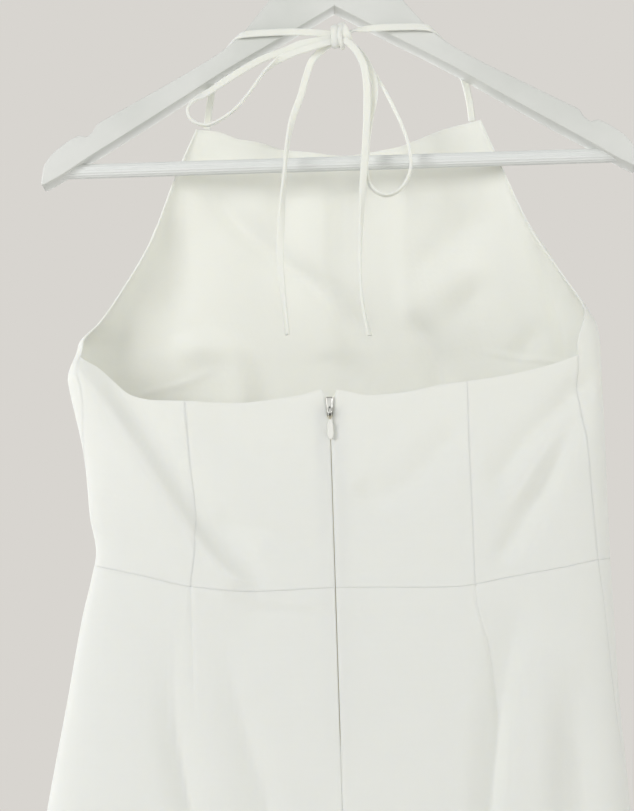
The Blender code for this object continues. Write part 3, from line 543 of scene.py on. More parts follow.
@dataclass(frozen=True)
class WovenCloth(Finish):
    """Woven cloth. Its threads follow the piece's own UV map, which is in metres along the cloth.

    The real threads lie closer than the render shows, so they are drawn wider apart than they are.
    """

    other: str = "ebece5"
    thread_mm: float = 0.9
    relief_mm: float = 0.05
    slub_mm: float = 7.0
    sheen: float = 0.12
    glow: float = 0.5
    glow_mm: float = 3.0

    def soften(self, shader: bpy.types.Node) -> None:
        """Gives the cloth its bloom at grazing light and the light that comes through it.

        Args:
            shader: The material's shader node.
        """
        shader.inputs["Sheen Weight"].default_value = self.sheen
        shader.inputs["Sheen Roughness"].default_value = 0.5
        shader.inputs["Specular IOR Level"].default_value = 0.25
        shader.inputs["Subsurface Weight"].default_value = self.glow
        shader.inputs["Subsurface Radius"].default_value = (1.0, 0.95, 0.8)
        shader.inputs["Subsurface Scale"].default_value = self.glow_mm * MM

    def edge(self) -> bpy.types.Material:
        """Builds the folded edge of the cloth, too narrow for its threads to show.

        Returns:
            The material.
        """
        material, tree, shader = self.shader()
        material.name = self.name + "_folded_edge"
        self.vary(tree, shader, add_node(tree, "TexCoord").outputs["Object"], self.other, 12)
        self.soften(shader)
        return material

    def both(self) -> Cloths:
        """The cloth's face and its folded edge."""
        return self.make(), self.edge()

    def make(self) -> bpy.types.Material:
        """Builds the cloth's face: crossed threads and faint slubs.

        Returns:
            The material.
        """
        material, tree, shader = self.shader()
        place = add_node(tree, "UVMap", uv_map="cloth").outputs["UV"]
        self.vary(tree, shader, place, self.other, 60)
        heights = []
        for turn in (0.0, math.pi / 2):
            laid = add_node(tree, "Mapping", {"Vector": place, "Rotation": (0, 0, turn)})
            wave = add_node(tree, "TexWave", {"Vector": laid.outputs["Vector"], "Detail Scale": 2.0,
                                              "Scale": 0.5 / (self.thread_mm * MM) / 10,
                                              "Distortion": 1.2, "Detail": 1.0},
                            wave_type="BANDS", bands_direction="X")
            heights.append(wave.outputs["Fac"])
        threads = add_node(tree, "Math", {0: heights[0], 1: heights[1]}, operation="MAXIMUM")
        slubs = add_node(tree, "TexNoise", {"Vector": place, "Scale": 1 / (self.slub_mm * MM),
                                            "Detail": 4.0})
        surface = add_node(tree, "Math", {0: threads.outputs[0], 1: slubs.outputs["Fac"]}, operation="ADD")
        bump = add_node(tree, "Bump", {"Height": surface.outputs[0], "Strength": 0.5,
                                       "Distance": self.relief_mm * MM})
        tree.links.new(bump.outputs["Normal"], shader.inputs["Normal"])
        self.soften(shader)
        return material


@dataclass(frozen=True)
class PaintedWood(Finish):
    """Wood under sprayed paint: a satin skin with the grain's faint lines and some wear on it."""

    other: str = "d3d5d0"
    grain_mm: float = 2.2
    relief_mm: float = 0.05

    def make(self) -> bpy.types.Material:
        """Builds the paint over long grain.

        Returns:
            The material.
        """
        material, tree, shader = self.shader()
        place = add_node(tree, "TexCoord").outputs["Object"]
        self.vary(tree, shader, place, self.other, 90)
        along = add_node(tree, "Mapping", {"Vector": place, "Scale": (0.06, 1.0, 1.0)})
        grain = add_node(tree, "TexNoise", {"Vector": along.outputs["Vector"],
                                            "Scale": 1 / (self.grain_mm * MM), "Detail": 4.0})
        bump = add_node(tree, "Bump", {"Height": grain.outputs["Fac"], "Strength": 0.4,
                                       "Distance": self.relief_mm * MM})
        tree.links.new(bump.outputs["Normal"], shader.inputs["Normal"])
        shader.inputs["Coat Weight"].default_value = 0.15
        shader.inputs["Coat Roughness"].default_value = 0.3
        return material


@dataclass(frozen=True)
class SmoothSkin(Finish):
    """A moulded, cast, enamelled or polished surface with a fine unevenness."""

    other: str = ""
    grain_mm: float = 3.0
    relief_mm: float = 0.01
    coat: float = 0.0

    def make(self) -> bpy.types.Material:
        """Builds the skin with a slight ripple and a drift of colour.

        Returns:
            The material.
        """
        material, tree, shader = self.shader()
        place = add_node(tree, "TexCoord").outputs["Object"]
        self.vary(tree, shader, place, self.other or self.colour, 25)
        ripple = add_node(tree, "TexNoise", {"Vector": place, "Scale": 1 / (self.grain_mm * MM),
                                             "Detail": 3.0})
        bump = add_node(tree, "Bump", {"Height": ripple.outputs["Fac"], "Strength": 0.3,
                                       "Distance": self.relief_mm * MM})
        tree.links.new(bump.outputs["Normal"], shader.inputs["Normal"])
        shader.inputs["Coat Weight"].default_value = self.coat
        shader.inputs["Coat Roughness"].default_value = 0.1
        return material


def add_to_scene(name: str, data: bpy.types.ID) -> bpy.types.Object:
    """Puts a mesh, a line, a light or the camera into the scene.

    Args:
        name: The object's name.
        data: What it shows.

    Returns:
        The object.
    """
    item = bpy.data.objects.new(name, data)
    bpy.context.scene.collection.objects.link(item)
    return item


def grid_mesh(name: str, points: Array, spread: Array) -> bpy.types.Object:
    """Builds a sheet on a grid.

    Args:
        name: The piece's name.
        points: Places in mm, by row and column.
        spread: The places on the flat cloth in mm, by row and column, for its UV map.

    Returns:
        The piece.
    """
    rows, columns = points.shape[:2]
    mesh = bmesh.new()
    bmesh.ops.create_grid(mesh, x_segments=columns - 1, y_segments=rows - 1, size=0.5)
    row = [round((vert.co.y + 0.5) * (rows - 1)) for vert in mesh.verts]
    column = [round((vert.co.x + 0.5) * (columns - 1)) for vert in mesh.verts]
    data = bpy.data.meshes.new(name)
    mesh.to_mesh(data)
    mesh.free()
    data.vertices.foreach_set("co", (points[row, column] * MM).astype(np.float32).ravel())
    corner = np.zeros(len(data.loops), np.int32)
    data.loops.foreach_get("vertex_index", corner)
    layer = data.uv_layers.new(name="cloth")
    layer.data.foreach_set("uv", (spread[row, column][corner] * MM).astype(np.float32).ravel())
    data.shade_smooth()
    data.update()
    return add_to_scene(name, data)


def add_object(name: str, mesh: bmesh.types.BMesh, smooth_degrees: float = 40) -> bpy.types.Object:
    """Makes a mesh into a piece of the scene.

    Args:
        name: The piece's name.
        mesh: Its mesh, in metres, which is freed.
        smooth_degrees: Edges sharper than this stay sharp.

    Returns:
        The piece.
    """
    data = bpy.data.meshes.new(name)
    mesh.to_mesh(data)
    mesh.free()
    data.shade_smooth()
    data.set_sharp_from_angle(angle=math.radians(smooth_degrees))
    return add_to_scene(name, data)


def slab(outline: list[Vector], thickness: float, rounding: float, segments: int,
         sharp_within: float = -1.0) -> bmesh.types.BMesh:
    """Builds an upright slab with rounded rims.

    Args:
        outline: The outline's points in mm, at y 0.
        thickness: The slab's thickness in mm, half of it to each side.
        rounding: The rims' rounding in mm.
        segments: Steps of the rounding.
        sharp_within: Rims no farther than this from x 0, in mm, stay sharp. Below 0 for none.

    Returns:
        The mesh, in metres.
    """
    level = 1e-6
    mesh = bmesh.new()
    near = [mesh.verts.new((point + Vector((0, -thickness / 2, 0))) * MM) for point in outline]
    face = mesh.faces.new(near)
    grown = bmesh.ops.extrude_face_region(mesh, geom=[face], use_keep_orig=True)
    far = [item for item in grown["geom"] if isinstance(item, bmesh.types.BMVert)]
    bmesh.ops.translate(mesh, verts=far, vec=(0, thickness * MM, 0))
    bmesh.ops.recalc_face_normals(mesh, faces=mesh.faces[:])
    rims = [edge for edge in mesh.edges if abs(edge.verts[0].co.y - edge.verts[1].co.y) < level
            and max(abs(vert.co.x) for vert in edge.verts) > sharp_within * MM]
    bmesh.ops.bevel(mesh, geom=rims, offset=rounding * MM, affect="EDGES", segments=segments,
                    profile=0.5, material=-1, clamp_overlap=True)
    return mesh


def add_block(mesh: bmesh.types.BMesh, centre: Vector, size: Vector) -> None:
    """Adds a square block to a mesh.

    Args:
        mesh: The mesh, in metres.
        centre: The block's centre in mm.
        size: Its size in mm.
    """
    corners = bmesh.ops.create_cube(mesh, size=1)["verts"]
    bmesh.ops.scale(mesh, verts=corners, vec=size * MM)
    bmesh.ops.translate(mesh, verts=corners, vec=centre * MM)


def give_wall(piece: bpy.types.Object, wall: float, rim: float, segments: int = 2) -> None:
    """Gives a sheet its thickness and rounds its rim.

    Args:
        piece: The sheet.
        wall: Its thickness in mm.
        rim: The rim's rounding in mm.
        segments: Steps of the rounding.
    """
    thick = piece.modifiers.new("Thickness", "SOLIDIFY")
    thick.thickness = wall * MM
    thick.offset = 0.0
    thick.use_even_offset = False
    thick.material_offset_rim = 1
    rounded = piece.modifiers.new("Rounded rim", "BEVEL")
    rounded.width = rim * MM
    rounded.segments = segments
    rounded.limit_method = "ANGLE"
    rounded.angle_limit = math.radians(60)


def finish_piece(piece: bpy.types.Object, material: bpy.types.Material | Cloths, slot: str, *nodes: str,
                 body: str = BODY) -> bpy.types.Object:
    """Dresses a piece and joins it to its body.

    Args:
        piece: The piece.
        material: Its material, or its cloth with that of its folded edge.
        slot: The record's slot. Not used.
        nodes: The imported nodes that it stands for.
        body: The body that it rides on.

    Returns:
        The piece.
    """
    piece.data.materials.clear()
    for coat in material if isinstance(material, tuple) else (material,):
        piece.data.materials.append(coat)
    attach(piece, body)
    if nodes:
        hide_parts(*nodes)
    log.info("%s: %d faces before its modifiers", piece.name, len(piece.data.polygons))
    return piece


def distance_along(points: Array, axis: int) -> Array:
    """Measures along a grid's rows or columns from their first line.

    Args:
        points: Places in mm, by row and column.
        axis: 0 to measure up the columns and 1 to measure across the rows.

    Returns:
        The distances in mm.
    """
    steps = np.linalg.norm(np.diff(points, axis=axis), axis=-1)
    start = np.zeros_like(np.take(steps, [0], axis=axis))
    return np.concatenate((start, np.cumsum(steps, axis=axis)), axis=axis)


class Edge(Enum):
    """How a panel ends: how far its edge turns in and over what width, in mm, and how it puckers."""

    SEAM = (0.12, 0.9, 0.05)
    ZIP = (0.5, 1.1, 0.03)
    TURNED = (0.2, 1.3, 0.0)

    def __init__(self, depth: float, width: float, pucker: float) -> None:
        """Names the three sizes of an edge.

        Args:
            depth: How far the cloth turns in.
            width: Over what width it does.
            pucker: How high its puckers are.
        """
        self.depth = depth
        self.width = width
        self.pucker = pucker

    def sink(self, away: Array, along: Array) -> Array:
        """Works out how far in the cloth lies near the edge.

        Args:
            away: Distances from the edge in mm.
            along: Distances along it in mm.

        Returns:
            The distances in, in mm.
        """
        ripple = np.sin(along / 2.9) * np.sin(along / 17 + 0.7) + 0.6 * np.sin(along / 4.7 + 2)
        return (self.depth * np.exp(-(away / self.width) ** 2)
                + self.pucker * ripple * np.exp(-away / 7) * smoothstep(away / 2))


@dataclass
class ClothPanel:
    """A cut piece of the dress between its four edges, on the dress's form."""

    name: str
    columns: Array
    rows: Array
    edges: Callable[[Array], Levels]
    heights: Callable[[Array], Levels]
    left: Edge = Edge.SEAM
    right: Edge = Edge.SEAM
    bottom: Edge = Edge.SEAM
    top: Edge = Edge.TURNED
    wall: float = 1.2
    rim_share: float = 0.32
    least_share: float = 0.31
    inset: float = 0.0

    def places(self) -> tuple[Array, Array]:
        """Finds the height and the angle of each grid point.

        Returns:
            The heights and the angles, by row and column.
        """
        across, up = np.meshgrid(self.columns, self.rows)
        z = between(self.heights(np.zeros_like(across)), up)
        for _ in range(8):
            angle = between(self.edges(z), across)
            z = between(self.heights(FORM.ring(z, angle)[0]), up)
        return z, angle

    def shape(self) -> tuple[Array, Array, tuple[float, float], float]:
        """Works out the sheet and its flat cut.

        Returns:
            The sheet's points, its flat places, the flat cut's width and length, and its area,
            in mm.
        """
        z, angle = self.places()
        points = FORM.skin(z, angle)
        normals = np.cross(np.gradient(points, axis=1), np.gradient(points, axis=0))
        normals /= np.linalg.norm(normals, axis=-1, keepdims=True)
        outside = np.sign(np.sum(normals * FORM.outward(z, angle)))
        normals *= outside
        across, up = distance_along(points, 1), distance_along(points, 0)
        sink = np.maximum.reduce((self.left.sink(across, up), self.right.sink(across[:, -1:] - across, up),
                                  self.bottom.sink(up, across), self.top.sink(up[-1:] - up, across)))
        points = points - normals * (sink + self.inset)[..., None]
        plain = FORM.plain(z, angle)
        width, length = distance_along(plain, 1), distance_along(plain, 0)
        middle = width.shape[1] // 2
        spread = np.stack((width - width[:, middle:middle + 1], length + z[0, middle]), -1)
        area = float(np.sum(np.diff(width, axis=1)[:-1] * np.diff(length, axis=0)[:, :-1]))
        return points, spread, (float(width[:, -1].max()), float(length[-1].max())), area

    def build(self, material: Cloths, slot: str, rests_on: tuple[str, ...]) -> bpy.types.Object:
        """Builds the panel, gives it its thickness and dresses it.

        Args:
            material: The cloth.
            slot: The record's slot.
            rests_on: What it hangs from. Not used.

        Returns:
            The piece.
        """
        points, spread, (width, length), area = self.shape()
        piece = grid_mesh(self.name + "_cloth", points, spread)
        give_wall(piece, self.wall, self.wall * self.rim_share)
        finish_piece(piece, material, slot, self.name)
        return piece


@dataclass
class Bodice:
    """The front with its halter top, and the four panels of the back."""

    front_columns: int = 170
    front_rows: int = 84
    side_columns: int = 44
    centre_columns: int = 56
    back_rows: int = 84
    pieces: list[bpy.types.Object] = field(default_factory=list)

    def front_heights(self, x: Array) -> Levels:
        """Reads the front's levels.

        Args:
            x: Places across the dress.

        Returns:
            The heights of its waist, its underarm line and its neckline.
        """
        (left_x, left_z), (right_x, right_z) = FORM.seam_top("left"), FORM.seam_top("right")
        share = np.clip((x - left_x) / (right_x - left_x), 0, 1)
        return WAIST.read("front", x), left_z + (right_z - left_z) * share, NECKLINE.read("z", x)

    def back_heights(self, x: Array) -> Levels:
        """The waist and the top edge of the back at a place across."""
        return WAIST.read("back", x), BACK_TOP.read("z", x)

    def panels(self) -> list[ClothPanel]:
        """The cut pieces, from the front round the back from left to right.

        Returns:
            The panels.
        """
        rows = crowded(self.back_rows)
        side, centre = crowded(self.side_columns), crowded(self.centre_columns)
        front_rows = np.concatenate((crowded(self.front_rows)[:-1], 1 + crowded(self.front_rows)))
        back = self.back_heights
        return [
            ClothPanel("front_bodice", crowded(self.front_columns, crowding=0.6), front_rows,
                       lambda z: (FORM.side_seam(z, "left"), FORM.side_seam(z, "right") - 360),
                       self.front_heights),
            ClothPanel("back_side_left", side, rows,
                       lambda z: (FORM.side_seam(z, "left"), FORM.shaping_seam(z, "left")), back),
            ClothPanel("back_centre_left", centre, rows,
                       lambda z: (FORM.shaping_seam(z, "left"), FORM.zip_edge(z, -1)), back, right=Edge.ZIP),
            ClothPanel("back_centre_right", centre, rows,
                       lambda z: (FORM.zip_edge(z, 1), FORM.shaping_seam(z, "right")), back, left=Edge.ZIP),
            ClothPanel("back_side_right", side, rows,
                       lambda z: (FORM.shaping_seam(z, "right"), FORM.side_seam(z, "right")), back),
        ]

    def build(self, cloth: Cloths) -> None:
        """Builds all five panels.

        Args:
            cloth: The dress's cloth.
        """
        for panel in self.panels():
            self.pieces.append(panel.build(cloth, "cloth", ("hanger_arm_left", "hanger_arm_right")))


@dataclass
class Skirt:
    """The skirt: one front and two backs, each back with a dart under the waist."""

    front_columns: int = 120
    rows: int = 150
    side_columns: int = 28
    centre_columns: int = 36
    pieces: list[bpy.types.Object] = field(default_factory=list)

    def heights(self, part: str) -> Callable[[Array], Levels]:
        """The hem and the waist at a place across.

        Args:
            part: Whether it is the back or the front.

        Returns:
            A function that gives both heights.
        """
        return lambda x: (FORM.hem(x), WAIST.read(part, x))

    def panels(self) -> list[ClothPanel]:
        """The cut pieces: the front, then the backs from left to right.

        Returns:
            The panels.
        """
        rows = crowded(self.rows, crowding=0.75)
        side, centre = crowded(self.side_columns), crowded(self.centre_columns)
        left_columns = np.concatenate((side[:-1], 1 + centre))
        right_columns = np.concatenate((centre[:-1], 1 + side))
        return [
            ClothPanel("skirt_front", crowded(self.front_columns, crowding=0.6), rows,
                       lambda z: (FORM.side_seam(z, "left"), FORM.side_seam(z, "right") - 360),
                       self.heights("front"), bottom=Edge.TURNED, top=Edge.SEAM),
            ClothPanel("skirt_back_left", left_columns, rows,
                       lambda z: (FORM.side_seam(z, "left"), FORM.shaping_seam(z, "left"),
                                  FORM.zip_edge(z, -1)),
                       self.heights("back"), right=Edge.ZIP, bottom=Edge.TURNED, top=Edge.SEAM),
            ClothPanel("skirt_back_right", right_columns, rows,
                       lambda z: (FORM.zip_edge(z, 1), FORM.shaping_seam(z, "right"),
                                  FORM.side_seam(z, "right")),
                       self.heights("back"), left=Edge.ZIP, bottom=Edge.TURNED, top=Edge.SEAM),
        ]

    def build(self, cloth: Cloths) -> None:
        """Builds the three panels.

        Args:
            cloth: The dress's cloth.
        """
        for panel in self.panels():
            self.pieces.append(panel.build(cloth, "cloth", ("hanger_arm_left", "hanger_arm_right")))


# Routes of the ties: places, then the way the strip's flat side faces there
NECK_LEFT = (
    (-99.5, 17.3, -189.9, 0, 1, 0), (-98, 16.2, -178, 0, 1, 0), (-94.5, 14.6, -160, 0, 1, 0),
    (-91.5, 13.6, -147.5, -0.2, 1, 0.1), (-89.8, 12.6, -141.5, -0.45, 0.75, 0.45),
    (-88.6, 9.6, -138.8, -0.6, 0.15, 0.79), (-86.3, 6, -137, -0.616, 0, 0.788),
    (-81.5, 0, -133.2, -0.616, 0, 0.788), (-76.6, -6, -129.4, -0.65, 0, 0.76),
    (-73.4, -9.8, -127.2, -0.62, -0.3, 0.7), (-69.6, -12.6, -126.3, -0.4, -0.8, 0.35),
    (-64, -13.4, -125.9, -0.1, -1, 0.1), (-50, -13.7, -125.4, 0, -1, 0), (-27, -14.2, -125.8, 0, -1, 0))
NECK_RIGHT = (
    (102, 17.3, -189.8, 0, 1, 0), (101, 16.2, -178, 0, 1, 0), (97.5, 14.6, -160, 0, 1, 0),
    (93.5, 13.6, -148, 0.2, 1, 0.1), (90.3, 12.6, -141.6, 0.45, 0.75, 0.45),
    (88.6, 9.6, -138.8, 0.6, 0.15, 0.79), (86.3, 6, -137, 0.616, 0, 0.788),
    (81.5, 0, -133.2, 0.616, 0, 0.788), (76.6, -6, -129.4, 0.65, 0, 0.76),
    (73.4, -9.8, -127, 0.62, -0.3, 0.7), (69.8, -12.6, -125.4, 0.4, -0.8, 0.35),
    (64, -13.4, -124.6, 0.1, -1, 0.1), (50, -13.8, -124.2, 0, -1, 0), (36, -14.3, -124.4, 0, -1, 0),
    (25, -15, -125.2, 0, -1, 0.1), (18, -15.8, -126, 0, -0.7, 0.7), (13, -16.5, -127, 0, -0.1, 1))
LOOP_LEFT = (
    (-16, -17.6, -134.2, 0, -1, 0), (-27, -17.4, -136, 0, -1, 0), (-39, -17.2, -141, 0, -1, 0),
    (-57, -17.2, -147.5, 0, -1, 0), (-79, -17.5, -160, 0, -1, 0), (-99, -18.5, -173, -0.3, -0.9, 0.4),
    (-107, -19.5, -177.5, -0.55, -0.45, 0.6), (-111.5, -20.5, -184, -1, -0.15, 0),
    (-110, -21.5, -191, -0.9, 0, -0.4), (-104, -22.2, -195.8, -0.5, 0, -0.85),
    (-97, -22.6, -197, 0, 0, -1), (-88, -22.6, -193.5, 0.45, 0, -0.9),
    (-77, -22.6, -186, 0.65, 0, -0.75), (-66, -22.6, -174, 0.72, 0, -0.69),
    (-54, -22.6, -158, 0.72, -0.05, -0.69), (-46, -22.4, -151, 0.6, -0.5, -0.6),
    (-39, -22.2, -147, 0.1, -1, -0.2), (-27, -21.6, -142.5, 0, -1, 0))
LOOP_RIGHT = (
    (17, -19.4, -144, 0, -1, 0), (24, -20, -156, 0, -1, 0), (27.5, -20.2, -168, 0, -1, 0),
    (27, -20.2, -180, 0, -1, 0), (23.5, -19.9, -195, -0.2, -1, 0), (20, -19.4, -218, -0.5, -0.85, 0),
    (19.5, -18.8, -237, -0.9, -0.4, 0), (23, -18.3, -247, -0.8, -0.2, -0.6),
    (33, -17.8, -253, 0, -0.15, -1), (43, -17.3, -249.5, 0.6, -0.15, -0.8),
    (50.5, -17, -239, 0.95, -0.1, -0.2), (52.5, -17, -225, 1, 0, 0),
    (49, -16.8, -207, 0.95, 0, 0.3), (40, -16.5, -184, 0.9, 0, 0.42),
    (30, -16.3, -164, 0.87, 0, 0.5), (21, -16.3, -149, 0.8, -0.2, 0.5))
TAIL_LEFT = (
    (-12, -14, -141.5, 0, -1, 0), (-18, -14.6, -148, 0, -1, 0), (-23, -16, -161, 0, -1, 0),
    (-27.5, -18, -176, 0.2, -1, 0), (-34, -19.6, -193, 0.5, -0.85, 0), (-38, -20.5, -210, 0.85, -0.5, 0),
    (-41, -21, -231, 1, -0.2, 0), (-43.5, -21, -257, 0.7, -0.7, 0), (-45.5, -20.7, -282, 0.1, -1, 0),
    (-46, -20.5, -305, -0.3, -0.95, 0), (-44.3, -20.4, -330, -0.8, -0.6, 0),
    (-42.3, -20.4, -356, -0.9, -0.45, 0))
TAIL_RIGHT = (
    (13.5, -24.8, -143, 0, -1, 0), (19.5, -25, -155, 0, -1, 0), (21.5, -24.9, -170, 0, -1, 0),
    (20.6, -24.6, -199, 0, -1, 0), (18, -24.2, -229, 0.1, -1, 0), (16, -23.9, -248, 0.4, -0.9, 0),
    (14, -23.7, -272, 0.85, -0.5, 0), (12.2, -23.4, -300, 1, -0.15, 0), (12, -23.2, -325, 1, 0, 0),
    (14.5, -23, -345, 0.95, -0.3, 0), (17.5, -23, -359, 0.8, -0.6, 0))


@dataclass
class Strap:
    """A flat strip turned right side out, swept along a route."""

    name: str
    route: tuple[tuple[float, ...], ...]
    width: float = 5.7
    wall: float = 2.1
    crown: float = 0.3
    step: float = 1.3
    across: int = 6
    least_rows: int = 8
    rim_share: float = 0.42
    rim_segments: int = 4
    least_flat_width: float = 10.0
    least_shown: float = 0.45

    def shape(self) -> tuple[Array, Array, float]:
        """Works out the strip.

        Returns:
            Its points, its flat places and its length, in mm.
        """
        route = np.array(self.route, float)
        passed = np.concatenate(([0.0], np.cumsum(np.linalg.norm(np.diff(route[:, :3], axis=0), axis=1))))
        curve = Table("length x y z face_x face_y face_z",
                      *[(length, *row) for length, row in zip(passed, route)], overshoot=True)
        total = float(passed[-1])
        along = np.linspace(0, total, max(self.least_rows, round(total / self.step)))
        centre = np.stack([curve.read(name, along) for name in ("x", "y", "z")], -1)
        face = np.stack([curve.read(name, along) for name in ("face_x", "face_y", "face_z")], -1)
        forward = np.gradient(centre, axis=0)
        forward /= np.linalg.norm(forward, axis=1, keepdims=True)
        face -= forward * np.sum(face * forward, axis=1, keepdims=True)
        face /= np.linalg.norm(face, axis=1, keepdims=True)
        sideways = np.cross(forward, face)
        off = np.linspace(-0.5, 0.5, self.across + 1)
        crown = self.crown * (1 - (2 * off) ** 2)
        points = (centre[:, None] + sideways[:, None] * (off * (self.width - self.wall * 0.2))[None, :, None]
                  + face[:, None] * crown[None, :, None])
        spread = np.stack(np.meshgrid(off * self.width, along), -1)
        return points, spread, total

    def build(self, material: Cloths, node: str | None = None) -> bpy.types.Object:
        """Builds the strip and dresses it.

        Args:
            material: The cloth.
            node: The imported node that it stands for.

        Returns:
            The piece.
        """
        points, spread, total = self.shape()
        piece = grid_mesh(self.name, points, spread)
        give_wall(piece, self.wall, self.wall * self.rim_share, self.rim_segments)
        finish_piece(piece, material, "cloth", *([node] if node else []))
        return piece


@dataclass
class NeckTies:
    """Two ties in a bow: each has a stretch round the neck, a loop and a tail, through one knot."""

    knot_centre: tuple[float, float, float] = (4.0, -18.5, -131.5)
    knot_radii: tuple[float, float, float] = (9.0, 6.5, 10.0)
    reach_in: float = 0.6
    wrap_start: float = 40.0
    wrap_places: int = 14
    pieces: list[bpy.types.Object] = field(default_factory=list)

    def knot_end(self, way: tuple[float, float, float]) -> tuple[float, float, float]:
        """The place just inside the knot where a tie leaves it.

        Args:
            way: The direction in which it leaves.

        Returns:
            The place in mm.
        """
        ahead = Vector(way).normalized()
        reach = 1 / math.sqrt(sum((part / radius) ** 2 for part, radius in zip(ahead, self.knot_radii)))
        return tuple(Vector(self.knot_centre) + ahead * reach * self.reach_in)

    def stretches(self) -> list[Strap]:
        """The stretches of both ties outside the knot.

        Returns:
            The straps.
        """
        def leaving(way: tuple, route: tuple) -> tuple:
            """A route that starts in the knot."""
            return ((*self.knot_end(way), *route[0][3:]), *route)

        def coming(route: tuple, way: tuple) -> tuple:
            """A route that ends in the knot."""
            return (*route, (*self.knot_end(way), *route[-1][3:]))

        return [
            Strap("neck_tie_left", coming(NECK_LEFT, (-1, 0.35, 0.5))),
            Strap("neck_tie_right", coming(NECK_RIGHT, (1, 0.3, 0.45))),
            Strap("bow_loop_left", leaving((-1, 0.1, -0.25), coming(LOOP_LEFT, (-0.95, -0.35, -0.75)))),
            Strap("bow_loop_right", leaving((0.8, 0.2, -0.75), coming(LOOP_RIGHT, (0.8, -0.35, -0.85)))),
            Strap("tie_tail_left", leaving((-0.7, -0.85, -0.6), TAIL_LEFT)),
            Strap("tie_tail_right", leaving((0.5, -0.9, -0.75), TAIL_RIGHT)),
        ]

    def wrap(self, turn: float, shift: float, size: float, bow: float = 0.0, rise: float = 0.0) -> tuple:
        """A route over the knot, from behind it over its top and its face.

        Args:
            turn: How far the wrap leans, in degrees from upright.
            shift: How far it lies from the knot's middle, in mm.
            size: Its size against the knot's.
            bow: How far its top and foot lie to the right of its middle, in mm.
            rise: How far it lies above the knot's middle, in mm.

        Returns:
            The route's rows.
        """
        rows = []
        _, deep, tall = self.knot_radii
        lean = Matrix.Rotation(math.radians(turn), 3, "Y")
        for degrees in np.linspace(self.wrap_start, 360 - self.wrap_start, self.wrap_places):
            spin = math.radians(degrees)
            out = Vector((0, math.cos(spin) * deep, math.sin(spin) * tall)) * size
            facing = Vector((0, math.cos(spin) / deep, math.sin(spin) / tall)).normalized()
            along = Vector((shift + bow * math.sin(spin) ** 2, 0, rise))
            spot = Vector(self.knot_centre) + lean @ (out + along)
            rows.append((*spot, *(lean @ facing)))
        return tuple(rows)

    def build(self, cloth: Cloths) -> None:
        """Builds the ties and the knot.

        Args:
            cloth: The dress's cloth.
        """
        for strap in self.stretches():
            name = strap.name
            strap.name = name + "_cloth"
            self.pieces.append(strap.build(cloth, name))
        wraps = [
            Strap("knot_wrap_front", self.wrap(4, -1.6, 0.84, bow=3.2), width=2.6, crown=0.9, step=0.9),
            Strap("knot_wrap_left", self.wrap(0, -4.4, 0.7), width=6.2, crown=1.1, step=0.9),
            Strap("knot_wrap_right", self.wrap(-24, 3.6, 0.62, rise=1.6), width=6.6, crown=1.0, step=0.9),
        ]
        for i, strap in enumerate(wraps):
            self.pieces.append(strap.build(cloth, "bow_knot" if i == 0 else None))


# Half the pull's width by height from its hinge, in mm, and the heights that its outline is drawn at
PULL_OUTLINE = Table("z half", (0.72, 1.0), (0.1, 1.2), (-2, 1.15), (-4.8, 1.1), (-7.5, 1.7),
                     (-10.5, 2.1), (-14.5, 2.15), (-17, 1.85), (-18.6, 1.25), (-19.4, 0.5))
PULL_HEIGHTS = np.concatenate((np.linspace(0.72, -17.5, 40), np.linspace(-17.8, -19.4, 8)))


